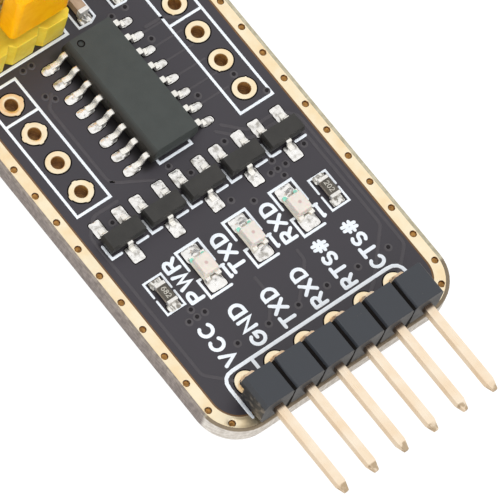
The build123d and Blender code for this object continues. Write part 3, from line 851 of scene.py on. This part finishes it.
via_x, via_y = along_rim(rim_vias, rim_inset, 1)
rim_places = [(x, side * y) for side in (-1, 1) for x, y in zip(via_x, via_y)]
piece("rim_via_plugs", [via_plug(x, y) for x, y in rim_places], hole_gold)
barrels = [barrel(x, side * side_row_y, 0.455, taper=0.13) for side in (-1, 1) for x in hole_x]
barrels += [barrel(header_leg_x, y, 0.465) for y in header_y]
piece("hole_barrels", barrels, hole_gold)
piece("rim_via_barrels", [barrel(x, y, 0.205, 20) for x, y in rim_places], via_wall)

# A thin brown line of painted shade runs along the inner edge of the gold rim.
rim_run = np.concatenate([
    np.linspace(-rim_end, -rim_straight, 16), np.linspace(rim_straight, rim_end, 16)])
rim_edge_lines = [
    ribbon(np.stack(along_rim(rim_run, rim_edges[1] + 0.05, side), axis=1), 0.15, 0.008,
           rounded=False)
    for side in (-1, 1)
]
piece("rim_edge_lines", rim_edge_lines, edge_shade_finish)

# %% [markdown]
# ## Solder
#
# Solder froze while it was wet, so it is smooth in places and crumpled in others, and mirrors
# the white studio and the black board; dark patches of painted reflection are also mixed into
# the bright solder's colour. A pool of it is a low dome over a rounded rectangle, with a few
# waves added to its height and a hump wherever it climbs a lead.

# %% Solder finishes
tin = Finish("bright solder", Metallic=0.75)
tin_crumple = tin.noise(0.36, 1.5)
# Dark patches of painted reflection of the black board in the solder's colour.
tin_dark_reflection = tin.between(tin.noise(0.42, 2, (1, 1, 1), 5.0), 0.48, 0.7)
tin_bright = tin.blend(tin_crumple, rgb(255, 253, 250), rgb(228, 226, 222))
solder_finish = tin.paint(
    Base_Color=tin.blend(tin_dark_reflection, tin_bright, rgb(176, 172, 165)),
    Roughness=tin.between(tin_crumple, 0.3, 0.7, 0.16, 0.36),
    Normal=tin.bump(tin_crumple * 0.92 + tin.noise(0.1, 1) * 0.08, 0.07),
)
dull_tin = Finish("dull solder", Metallic=0.75)
tin_streaks = dull_tin.noise(0.2, 2, (0.5, 1, 1))
streaked_solder = dull_tin.paint(
    Base_Color=dull_tin.blend(
        dull_tin.between(tin_streaks, 0.42, 0.6), rgb(240, 238, 232), rgb(140, 136, 128)),
    Roughness=dull_tin.between(tin_streaks, 0.3, 0.7, 0.22, 0.4),
    Normal=dull_tin.bump(tin_streaks, 0.06),
)

# %% Solder pools
POOL_RIM = 9


def waves(x, y, length, seed):
    """Even waves of about that length in random directions, added up to about -1 to 1."""
    dice = np.random.default_rng(seed)
    total = 0
    for angle, phase, pace in zip(
            dice.uniform(0, np.pi, 6), dice.uniform(0, 6.28, 6), dice.uniform(0.7, 1.6, 6)):
        ahead = x * np.cos(angle) + y * np.sin(angle)
        total = total + np.sin(2 * np.pi * pace / length * ahead + phase)
    return total / 3


def pool(x, y, half_x, half_y, height, seed, corner=5, humps=(), ripple=0.02, base=None):
    """Solder wetted to a land, as a closed grid of rings round its middle.

    The outline is a superellipse, |x/a|^n + |y/b|^n = 1 with n the corner value, shaken a
    little. At share s of the way out the rise is height * (1 - s^4), plus waves that fade at the
    rim, plus a bell for each hump, given as its place, its radius and its height.
    """
    angle = circle_angles(40)
    cos, sin = np.cos(angle), np.sin(angle)
    radius = (np.abs(cos / half_x) ** corner + np.abs(sin / half_y) ** corner) ** (-1 / corner)
    radius = radius * (1 + 0.035 * waves(cos, sin, 1.1, seed))
    share = column(0.02, 0.15, 0.3, 0.45, 0.6, 0.72, 0.82, 0.9, 0.96, 1.0, 1.0, 0.5, 0.02)
    px, py = x + share * radius * cos, y + share * radius * sin
    ground = board_top if base is None else base
    fade = 1 - share ** 4
    rise = height * fade + ripple * fade * waves(px, py, 0.42, seed + 50)
    for hump_x, hump_y, hump_radius, hump_height in humps:
        distance = np.hypot(px - hump_x, py - hump_y) / hump_radius
        rise = rise + hump_height * np.exp(-distance ** 2) * (1 - share ** 8)
    below = np.arange(len(share))[:, None] > POOL_RIM
    height_grid = np.where(below, ground - 0.03, ground + np.maximum(rise, 0.012))
    return spread(px, py, height_grid), False, True


chip_x, chip_pitch = -1.07, 1.27
chip_lead_x = chip_x + (np.arange(8) - 3.5) * chip_pitch
chip_pools = [
    pool(x + 0.03, -3.12, 0.34, 0.66, 0.06, k + 30, 3.4,
         ((x, -3.0, 0.24, 0.13), (x - 0.03, -3.45, 0.2, 0.07),
          (x + 0.3, -2.86 - 0.05 * (k % 3), 0.1, 0.13),
          (x + 0.3, -3.02 - 0.04 * (k % 2), 0.1, 0.09)))
    for k, x in enumerate(chip_lead_x)
]
chip_pools += [
    pool(x, 3.24, 0.27, 0.55, 0.06, k + 50, 3,
         ((x, 3.1, 0.2, 0.1), (x + 0.05, 3.5, 0.2, 0.08)), 0.03)
    for k, x in enumerate(chip_lead_x)
]

transistor_side, transistor_reach = 0.95, 1.37
transistor_pools = []
for k, middle in enumerate(transistor_y):
    transistor_pools.append(pool(
        transistor_x + transistor_reach, middle, 0.62, 0.46, 0.07, k, 10,
        ((transistor_x + 1.1, middle, 0.25, 0.1),)))
    for side in (-1, 1):
        y = middle + side * transistor_side
        transistor_pools.append(pool(
            transistor_x - transistor_reach, y, 0.62, 0.43, 0.075, 20 + 2 * k + side, 10,
            ((transistor_x - 1.15, y, 0.22, 0.09),)))

led_pools = [
    pool(led_x + side * 1.25, y, 0.53, 0.66, 0.12, 60 + 2 * k + side, 9,
         ((led_x + side * 0.92, y, 0.3, 0.4), (led_x + side * 1.2, y + 0.3, 0.25, 0.1)), 0.03)
    for k, y in enumerate(led_y) for side in (-1, 1)
]
capacitor_x, capacitor_y = -8.19, (1.12, 4.05)
passive_pools = [
    pool(x + side * 0.97, y, 0.31, 0.48, 0.07, seed + side, 9,
         ((x + side * 0.82, y, 0.2, rise),), 0.015)
    for seed, x, y, rise in (
        (80, resistor_x, -resistor_y, 0.15), (84, resistor_x, resistor_y, 0.15),
        (88, capacitor_x, capacitor_y[0], 0.3), (92, capacitor_x, capacitor_y[1], 0.3))
    for side in (-1, 1)
]
for name, node, grids, finish in (
    ("serial_chip_joints", "serial_chip_solder", chip_pools, solder_finish),
    ("transistor_joints", "transistor_solder", transistor_pools, solder_finish),
    ("led_joints", "led_solder", led_pools, solder_finish),
    ("passive_joints", "passive_solder", passive_pools, streaked_solder),
):
    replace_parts(piece(name, grids, finish), node)

# %% [markdown]
# The mask stops a little short of each land, and the dark plate in that gap is painted shade.
# Its shape is the outline of the pool or pad itself, moved outwards.

# %% Gaps in the mask
# Painted shade, used in the gaps round the lands, in the header's notches and slits, and round the
# chip's mark.
painted_shade_finish = clouded("painted shade in gaps", 0.2, rgb(14, 12, 12), rgb(26, 23, 21),
                     Roughness=0.8, Specular_IOR_Level=0.08)


def mask_gap(grid, row, gap, inner, hollow):
    """A thin dark plate of painted shade: row of a grid is its outline, moved out by gap from its
    middle.

    The plate starts at the share inner of the way out, and is open there if it is hollow.
    """
    rim = grid[0][row]
    middle = rim.mean(axis=0)
    away = rim - middle
    away[:, 2] = 0
    outline = away * (1 + gap / np.linalg.norm(away, axis=1))[:, None]
    plate = middle + np.array([inner, 1.0, 1.0, inner])[:, None, None] * outline
    plate[..., 2] = board_top + column(0.005, 0.005, -0.02, -0.02)
    return plate, hollow, True


pools = chip_pools + transistor_pools + led_pools + passive_pools
pool_gaps = [mask_gap(grid, POOL_RIM, 0.08, 0.02, False) for grid in pools]
piece("mask_gaps", pool_gaps, painted_shade_finish)
pad_gaps = [mask_gap(grid, 1, 0.09, 0.8, True) for grid in side_pads + header_pads]
piece("pad_gaps", pad_gaps, painted_shade_finish)

# %% [markdown]
# Below the board each pin stands in a cone of solder, whose side is hollow because the molten
# metal climbed the pin. The upper ends of the header's joints show as small bright drops.

# %% Solder cones


def cone(x, y, neck, foot=0.8, height=0.62):
    """A solder fillet under the board, turned round the pin.

    The radius falls from foot to neck as (1 - t)^2.2 while the depth grows with t. Small points
    on the axis close both ends inside the board and the pin.
    """
    t = np.linspace(0, 1, 9)[:, None]
    radius = np.vstack([[[0.001]], neck + (foot - neck) * (1 - t) ** 2.2, [[0.001]]])
    depth = np.vstack([[[-0.03]], -0.03 + (height + 0.03) * t, [[height]]])
    return turned(x, y, radius, board_bottom - depth, circle_angles(32)), False, True


for name, node, x, row, neck in (
    ("header_joints", "header_solder", header_leg_x, header_y, 0.43),
    ("jumper_joints", "jumper_solder", jumper_x, jumper_y, 0.43),
    ("contact_joints", "usb_contact_solder", contact_x, contact_y, 0.36),
):
    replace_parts(piece(name, [cone(x, y, neck) for y in row], solder_finish), node)

header_drops = [
    pool(header_leg_x - 0.06, y, 0.44, 0.42, 0.06, 120 + k, 2,
         ((header_leg_x - 0.12, y - 0.1, 0.2, 0.1),), 0.04, board_top - 0.12)
    for k, y in enumerate(header_y)
]
piece("header_drops", header_drops, solder_finish)

# %% [markdown]
# ## Leads
#
# The leads of the chip and of the transistors are flat strip, bent like a gull's wing. The
# profile is a rounded rectangle, and it is carried along an S curve.

# %% Gull wing leads
strip = Finish("tinned lead", Metallic=0.75)
strip_grain = strip.noise(0.1, 2)
lead_finish = strip.paint(
    Base_Color=strip.blend(strip.noise(0.3, 2), rgb(255, 253, 248), rgb(228, 224, 214)),
    Roughness=strip.between(strip_grain, 0.3, 0.7, 0.2, 0.36),
    Normal=strip.bump(strip_grain, 0.012),
)


def strip_lead(x, y, turn, start, shoulder, knee, tip, high, low, width, thickness):
    """A bent strip that leaves a body at start and lies down from knee to tip.

    The middle of the strip is at height high up to the shoulder, at low from the knee on, and
    between them follows 3t^2 - 2t^3. The profile is a superellipse of the strip's width and
    thickness, kept square to the path. turn gives the outward direction.
    """
    out = np.concatenate([[start], np.linspace(shoulder, knee, 14), [tip - 0.03, tip]])
    t = np.clip((out - shoulder) / (knee - shoulder), 0, 1)
    height = high + (low - high) * (3 * t ** 2 - 2 * t ** 3)
    slope = np.gradient(height, out)
    slope[0] = slope[-1] = 0
    lean = 1 / np.hypot(1, slope)
    around = circle_angles(16)[0] + np.pi / 16
    power = 0.35
    side = np.sign(np.cos(around)) * np.abs(np.cos(around)) ** power * width / 2
    thick = np.sign(np.sin(around)) * np.abs(np.sin(around)) ** power * thickness / 2
    size = np.ones((len(out), 1))
    size[-1] = 0.8
    out_grid = out[:, None] - thick * (slope * lean)[:, None]
    height_grid = height[:, None] + thick * lean[:, None] * size
    side_grid = side * size
    ends = np.ones((1, 16))
    out_grid = np.vstack([out_grid[:1], out_grid, out_grid[-1:]])
    height_grid = np.vstack([ends * height[0], height_grid, ends * height[-1]])
    side_grid = np.vstack([ends * 0, side_grid, ends * 0])
    forward_x, forward_y = math.cos(turn), math.sin(turn)
    return (spread(x + out_grid * forward_x - side_grid * forward_y,
                   y + out_grid * forward_y + side_grid * forward_x, height_grid), False, True)


chip_lead_high = box_mm("serial_chip_leads")[1][Z] - 0.1
chip_leads = [
    strip_lead(x, 0, side * np.pi / 2, 1.8, shoulder, knee, 3.08, chip_lead_high,
               board_top + 0.19, 0.44 + 0.02 * side, 0.2)
    for side, shoulder, knee in ((-1, 2.14, 2.54), (1, 2.42, 2.74)) for x in chip_lead_x
]
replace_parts(piece("chip_strip_leads", chip_leads, lead_finish), "serial_chip_leads")

transistor_high = box_mm("transistor_1_leads")[1][Z] - 0.07
for number, y in enumerate(transistor_y, start=1):
    wing = (0.5, 0.72, 0.93, 1.26, transistor_high, board_top + 0.16, 0.42, 0.14)
    leads = [
        strip_lead(transistor_x, y + shift, turn, *wing)
        for shift, turn in ((0, 0), (-transistor_side, np.pi), (transistor_side, np.pi))
    ]
    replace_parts(piece(f"transistor_{number}_strips", leads, lead_finish),
                f"transistor_{number}_leads")

# %% [markdown]
# ## Moulded parts
#
# The solids of the CAD model have the right shapes, but nothing real has perfectly sharp edges.
# In `dress` a Weld modifier joins their loose triangles and a Bevel rounds the edges by a few
# hundredths of a millimetre, which catches the light. Their meshes stay untouched. The header's
# end face is painted darker, as shade, with a painted mottled brown reflection on it, and the
# housing has a few pale specks of dust.

# %% Header plastic
header = Finish("slate header plastic", Specular_IOR_Level=0.5)
header_cloud = header.noise(1.4, 3)
header_dust = header.noise(0.16, 1, (1, 1, 1), 7.0) > 0.77
header_tone = header.blend(header_cloud, rgb(44, 47, 52), rgb(53, 56, 61))
header_low, header_high = box_mm("header_housing")
# End face painted darker as shade, with a painted mottled brown reflection; the pale specks
# elsewhere are dust.
end_face_share = header.ramp(Y, header_low[Y] + 0.02, header_low[Y] + 0.06, 1.0, 0.0)
end_face_reflection = header.between(header.noise(0.35, 4, (1, 1, 1), 2.0), 0.48, 0.66) * end_face_share
end_face_shade_tone = header.blend(end_face_share * 0.6, header_tone, rgb(22, 20, 18))
header_plastic = header.paint(
    Base_Color=header.blend(header_dust * 0.35 + end_face_reflection * 0.45, end_face_shade_tone, rgb(132, 122, 110)),
    Roughness=header.between(header_cloud, 0.3, 0.7, 0.4, 0.52),
    Normal=header.bump(header.noise(0.05, 2), 0.008),
)
dress(["header_housing"], header_plastic, 0.03)

# %% Shades between the header's cells
header_front, header_top = header_high[X], header_high[Z]
slit_y = (header_y[:-1] + header_y[1:]) / 2


def slit_mouth(y):
    """A thin dark sheet of painted shade on the front face, drawn from four-cornered rings from top
    to foot.
    """
    height = column(header_top - 0.62, header_top - 0.62, header_top - 1.5, board_top + 0.05,
                    board_top + 0.05)
    low_side = column(-0.02, -0.02, -0.2, -0.42, -0.2)
    high_side = column(0.01, 0.03, 0.04, 0.0, -0.2)
    depth = np.array([0.006, 0.006, -0.02, -0.02])
    across = np.array([0.0, 1.0, 1.0, 0.0])
    return (spread(header_front + depth, y + low_side + (high_side - low_side) * across,
                   height), False, True)


notch_shades = [
    ribbon([(header_front - 2.4, y), (header_front - 0.02, y)], 0.27, 0.004, header_top - 0.2,
           rounded=False)
    for y in slit_y
]
piece("header_notch_shades", notch_shades, painted_shade_finish)
piece("header_slit_mouths", [slit_mouth(y) for y in slit_y], painted_shade_finish)

# %% [markdown]
# The pins are drawn brass wire with a pale gold plating. Drawing leaves fine lines along the
# wire, so the grain is stretched along each pin. Where a pin leaves the housing, a dark brown
# shade and reflection of the housing is painted on it. It is dull in the bend behind it, and its
# cut tip is painted darker and mottled.

# %% Pins
pin_gold = Finish("pale gold pins", Metallic=1.0)
drawn = pin_gold.noise(0.05, 2, (0.04, 1, 1))
tarnish = pin_gold.between(pin_gold.noise(1.6, 3), 0.3, 0.75)
pin_tone = pin_gold.blend(tarnish, rgb(255, 239, 216), rgb(249, 224, 192))
pin_face, pin_rear, pin_tip = header_front, header_low[X], box_mm("header_pin_1")[1][X]
# Painted shade and reflection of the dark housing where the pin leaves it.
pin_root_shade = pin_gold.ramp(X, pin_face + 0.16, pin_face + 0.42, 0.85, 0.0)
pin_root_shade *= pin_gold.past(X, pin_face)
pin_bend = pin_gold.ramp(X, pin_rear - 0.02, pin_rear + 0.02, 1.0, 0.0)
pin_bend *= pin_gold.past(X, pin_rear - 1.6)
# The tip is painted darker and mottled.
pin_end = pin_gold.ramp(X, pin_tip - 0.62, pin_tip - 0.5)
pin_end *= pin_gold.between(pin_gold.noise(0.5, 2), 0.42, 0.6, 0.1, 0.7)
pin_tone = pin_gold.blend(pin_end, pin_tone, rgb(160, 134, 98))
pin_finish = pin_gold.paint(
    Base_Color=pin_gold.blend(pin_root_shade, pin_tone, rgb(66, 34, 14)),
    Roughness=pin_gold.between(drawn, 0.3, 0.7, 0.26, 0.4) + pin_bend * 0.5,
    Normal=pin_gold.bump(drawn, 0.006),
)
dress([f"header_pin_{number}" for number in range(1, 7)], pin_finish, 0.02)
dress([f"jumper_pin_{number}" for number in range(1, 4)], pin_finish, 0.02)
dress([f"usb_contact_{number}" for number in range(1, 5)], pin_finish, 0.03)

# %% [markdown]
# The jumper is two moulded parts in two yellows: a lemon base that lets some light through, and
# an orange cap with a silkier skin.

# %% Jumper
glow_through = {"Subsurface_Weight": 0.25, "Subsurface_Scale": 0.0006}
base_plastic = moulded("lemon plastic", rgb(228, 203, 68), rgb(213, 184, 50), 0.42, 0.3, 0.02,
                       0.4, **glow_through)
cap_plastic = moulded("orange plastic", rgb(243, 175, 0), rgb(236, 163, 0), 0.36, 0.3, 0.02,
                      0.25, **glow_through)
dress(["jumper_base"], base_plastic, 0.07)
dress(["jumper_cap_housing"], cap_plastic, 0.06)

# %% Steel parts and plug insulator
steel = Finish("nickel plated steel", Metallic=1.0)
rolled = steel.noise(0.08, 2, (0.06, 1, 1))
smudge = steel.noise(2.5, 3)
steel_finish = steel.paint(
    Base_Color=steel.blend(smudge, rgb(226, 224, 220), rgb(196, 194, 190)),
    Roughness=steel.between(rolled * 0.5 + smudge * 0.5, 0.3, 0.7, 0.18, 0.32),
    Normal=steel.bump(rolled, 0.006),
)
dress(["jumper_cap_clip", "usb_plug_shell"], steel_finish)
plug_plastic = moulded("white plug plastic", rgb(232, 231, 226), rgb(222, 220, 214), 0.45)
dress(["usb_plug_insulator"], plug_plastic)

# %% [markdown]
# Chip packages are filled with silica dust, so their black is grey, matt and a little green. The
# serial chip's -Y side is painted darker, as shade. A small ring pressed into it marks its first
# pin, and a dark ring of painted shade is drawn round that mark.

# %% Chip and transistor bodies
package = Finish("grey chip package")
package_cloud = package.noise(0.9, 3)
# Painted shade on the chip body's -Y side.
package_shade = package.ramp(Y, chip_low[Y] + 0.05, chip_low[Y] + 0.5, 0.9, 0.0)
package_tone = package.blend(
    package.between(package_cloud, 0.3, 0.7), rgb(53, 57, 55), rgb(60, 64, 62))
chip_plastic = package.paint(
    Base_Color=package.blend(package_shade, package_tone, rgb(26, 22, 16)),
    Roughness=package.between(package_cloud, 0.3, 0.7, 0.55, 0.65),
    Normal=package.bump(package.noise(0.04, 2) * 0.7 + package_cloud * 0.3, 0.012),
)
dress(["serial_chip_body"], chip_plastic, 0.04)
mark_x, mark_y, mark_radius = chip_low[X] + 0.68, chip_low[Y] + 1.0, 0.24
mark_path = arc(mark_x, mark_y, mark_radius, mark_radius, 0, 348.75, 32)
# A dark ring of painted shade round the edge of the pin-one dimple.
mark_shade_ring = ribbon(mark_path, 0.08, 0.006, chip_high[Z], loop=True)
piece("chip_mark_shade", [mark_shade_ring], painted_shade_finish)
small_plastic = moulded("dark small package", rgb(43, 42, 40), rgb(51, 50, 48), 0.55, 0.05,
                        0.015, 0.4)
dress([f"transistor_{number}_body" for number in range(1, 6)], small_plastic, 0.04)

# %% [markdown]
# ## The lights
#
# A chip LED is a white board with a block of milky resin on it. The die shows through the resin
# as a soft pink spot, so the spot is painted by its distance from the middle of each block.

# %% LED resin
resin = Finish("milky resin", Roughness=0.28, Subsurface_Weight=0.3, Subsurface_Scale=0.0005)
lens_top = box_mm("led_1_lens")[1][Z]
spot = None
for y in led_y:
    middle = (led_x * MM, y * MM, lens_top * MM)
    away = resin.node("ShaderNodeVectorMath", {"operation": "DISTANCE"},
                      {0: resin.place, 1: middle}, "Value")
    near = resin.between(away, 0.07 * MM, 0.17 * MM, 1.0, 0.0)
    spot = near if spot is None else spot + near
milk = resin.noise(0.35, 3)
milk_tone = resin.blend(milk, rgb(226, 219, 211), rgb(207, 198, 189))
resin_finish = resin.paint(
    Base_Color=resin.blend(spot * 0.6, milk_tone, rgb(176, 130, 130)),
    Normal=resin.bump(milk, 0.02),
)
dress([f"led_{number}_lens" for number in range(1, 4)], resin_finish, 0.1)
led_white = moulded("white led board", rgb(238, 232, 218), rgb(226, 217, 198), 0.5)
dress([f"led_{number}_base" for number in range(1, 4)], led_white)

# %% LED ends
led_base_top = box_mm("led_1_base")[1][Z]
led_end_start = 0.77


def led_end(y, side):
    """The plated end of an LED's board, wrapped over its half hole.

    Rows run across the board, columns from the resin out to the end. The end follows the board
    straight, and where the half hole is, it follows the circle: 1 - sqrt(r^2 - y^2).
    """
    across = np.linspace(-0.62, 0.62, 31)[:, None]
    outer = 1.0 - np.sqrt(np.maximum(0.3 ** 2 - across ** 2, 0)) + 0.01
    out = led_end_start + (outer - led_end_start) * np.array([0, 0, 0.5, 1, 1, 1, 0])
    height = led_base_top + np.array([-0.02, 0.02, 0.02, 0.02, 0.0, -0.3, -0.3])
    grid = spread(led_x + side * out, y + across, height)
    caps = [np.repeat(grid[row][None].mean(axis=1, keepdims=True), 7, axis=1) for row in (0, -1)]
    return np.vstack([caps[0], grid, caps[1]]), False, True


piece("led_plated_ends", [led_end(y, side) for y in led_y for side in (-1, 1)],
      lead_finish)

green = moulded("green polarity ink", rgb(150, 216, 196), rgb(126, 202, 178), 0.35)
green_marks = [
    pool(led_x - 0.74 - 0.04 * k, y - 0.06 + side * 0.46, 0.17, 0.15, 0.015, 140 + k, 2.4,
         (), 0.01, led_base_top + 0.02)
    for k, y in enumerate(led_y) for side in (-1, 1)
]
piece("led_green_marks", green_marks, green)

# %% [markdown]
# ## Chip resistors and capacitors
#
# A chip resistor is a slip of grey ceramic with tinned ends and a black glass coat on top,
# printed with a number code. The coat is a flat pool with square corners.

# %% Resistors and capacitors
ceramic = moulded("grey ceramic", rgb(150, 142, 132), rgb(134, 124, 112), 0.6, 0.08, 0.01)
code_ink = moulded("faint number ink", rgb(196, 192, 182), rgb(170, 166, 156), 0.6)
coat = moulded("black glass coat", rgb(62, 58, 50), rgb(78, 73, 64), 0.3, 0.1, 0.01)
end_tin = Finish("warm tinned ends", Metallic=0.85)
end_mottle = end_tin.noise(0.14, 3)
end_finish = end_tin.paint(
    Base_Color=end_tin.blend(end_mottle, rgb(254, 252, 248), rgb(214, 211, 204)),
    Roughness=end_tin.between(end_mottle, 0.3, 0.7, 0.3, 0.45),
    Normal=end_tin.bump(end_mottle, 0.02),
)
tan_ceramic = moulded("tan capacitor ceramic", rgb(178, 154, 130), rgb(158, 132, 108), 0.5)
for kind, material in (("resistor", ceramic), ("capacitor", tan_ceramic)):
    dress([f"{kind}_1_body", f"{kind}_2_body"], material)
    dress([f"{kind}_1_terminals", f"{kind}_2_terminals"], end_finish, 0.03)

resistor_top = box_mm("resistor_1_body")[1][Z]
coats, codes = [], []
for side, code in ((-1, "682"), (1, "202")):
    y = side * resistor_y
    coats.append(pool(resistor_x, y, 0.56, 0.38, 0.05, 5, 12, (), 0.0, resistor_top))
    codes += words(code, resistor_x - 0.42, resistor_x + 0.42, y - 0.2, y + 0.2, 0.062, 0.3,
                   resistor_top + 0.045)
piece("resistor_coats", coats, coat)
piece("resistor_codes", codes, code_ink)

# %% [markdown]
# ## Under the mask
#
# Tracks run below the mask and lift it a little, and the small holes that join the layers are
# filled with mask, which leaves a dimple with a faint ring; the dimple's dark colour is painted
# shade. The lower face has a few of its own.

# %% Tracks
track_finish = clouded("mask over copper", 0.6, rgb(56, 53, 57), rgb(67, 63, 67), 0.006,
                       Roughness=0.4)


def under(grid):
    """The same thin shape on the lower face: mirrored in the middle plane of the board."""
    return grid[0] * (1, 1, -1) + (0, 0, board_top + board_bottom), grid[1], grid[2]


def track_lines(paths, width):
    """Tracks along the paths, each a little higher than the one before it."""
    return [
        ribbon(rounded_path(path, 0.3), width, 0.016 + 0.001 * k) for k, path in enumerate(paths)
    ]


tracks = track_lines([
    [(19.81, 6.35), (19.1, 7.3), (17.8, 8.75), (6.4, 8.75), (5.4, 7.75), (5.4, 5.2), (4.1, 3.9)],
    [(19.81, 3.81), (18.8, 5.3), (17.4, 6.7), (15.8, 8.3), (7.0, 8.3), (6.0, 7.3), (6.0, 5.0),
     (4.3, 3.3)],
    [(19.81, -6.35), (18.3, -7.9), (17.7, -8.5), (5.8, -8.5), (4.7, -7.4), (4.7, -5.4)],
    [(4.8, -2.4), (3.6, -4.6), (3.2, -5.0), (-3.2, -5.0), (-4.0, -4.2)],
    [(17.31, -2.52), (15.9, -1.2), (14.2, -1.2)],
    [(17.36, -0.03), (16.0, 1.4), (15.0, 2.4), (14.2, 2.4)],
    [(-3.56, 6.95), (-4.5, 5.6), (-4.5, 4.2)],
], 0.25)
tracks += [ribbon([(x, 3.5), (x, 6.1)], 0.16, 0.014) for x in chip_lead_x[1:7]]
piece("mask_tracks", tracks, track_finish)
under_start = header_leg_x - 1.0
under_tracks = track_lines([
    [(under_start, header_y[0]), (13.0, -5.0), (6.0, -5.0), (3.0, -2.0), (-8.0, -2.0)],
    [(under_start, header_y[1]), (14.6, -2.6), (8.0, -2.6), (5.2, 0.2), (-6.6, 0.2)],
    [(under_start, header_y[3]), (12.0, 1.27), (8.6, 3.0), (-3.0, 3.0), (-5.0, 1.4)],
    [(under_start, header_y[5]), (12.4, 5.6), (6.6, 5.6), (5.2, 4.4), (-4.2, 4.4)],
    [(-3.6, 5.4), (-8.0, 5.4), (-10.6, 3.0), (-10.6, 1.2)],
    [(0.4, -5.6), (-1.2, -4.2), (-9.0, -4.2)],
], 0.3)

# %% Covered vias
ring_finish = clouded("mask over a via ring", 0.2, rgb(60, 57, 60), rgb(75, 71, 74),
                      Roughness=0.3)
# The dimples' dark colour is painted shade.
dimple_shade_finish = clouded("painted shade in a via dimple", 0.1, rgb(28, 26, 28), rgb(46, 43, 45),
                        Roughness=0.6, Specular_IOR_Level=0.1)
ring_share, ring_radius = column(0.01, 0.35, 0.5, 0.65, 0.82, 1.0, 1.0, 0.01), 0.29
ring_height = column(0.004, 0.004, 0.02, 0.03, 0.026, 0.0, -0.02, -0.02)
dimple_share, dimple_radius = column(0.01, 0.6, 1.0, 1.0, 0.01), 0.14
dimple_height = column(0.024, 0.026, 0.033, -0.01, -0.01)


def via_spots(radius, height, shift_x=0.0, shift_y=0.0):
    """One closed shape turned round each covered via, a little aside of its middle."""
    return [
        (turned(x + shift_x, y + shift_y, radius, board_top + height, circle_angles(24)),
         False, True)
        for x, y in via_places
    ]


via_places = np.array([
    (14.45, -5.12), (14.5, -2.52), (14.55, -0.03), (14.5, 2.45), (14.6, 5.05), (14.63, 7.65),
    (11.46, -6.83), (11.46, -6.17), (11.46, -5.52), (10.83, -6.2), (6.05, 1.0), (6.93, 2.25),
    (5.97, 4.48), (5.97, 5.07), (5.28, 5.12), (6.6, 5.15), (5.97, 5.75), (5.5, 7.72),
    (2.97, -6.63), (2.98, 0.0), (1.76, -0.95), (2.4, 3.33), (1.0, 8.12), (-1.2, 7.0),
    (-1.28, 3.96), (-6.37, 3.97), (-9.25, 3.95), (-6.85, -4.67), (-6.37, -4.22),
    (-9.2, -4.75), (-9.2, -4.05), (-9.18, 2.75)]) + (2.81, 0)
via_rings = via_spots(ring_radius * ring_share, ring_height)
via_dimples = via_spots(dimple_radius * dimple_share, dimple_height, -0.03, 0.02)
piece("via_rings", via_rings, ring_finish)
piece("via_dimples", via_dimples, dimple_shade_finish)
for name, grids, finish in (
    ("under_tracks", under_tracks, track_finish),
    ("under_via_rings", via_rings, ring_finish),
    ("under_via_dimples", via_dimples, dimple_shade_finish),
):
    piece(name, [under(grid) for grid in grids], finish)

# %% Closing
bpy.context.scene.view_settings.view_transform = "Standard"
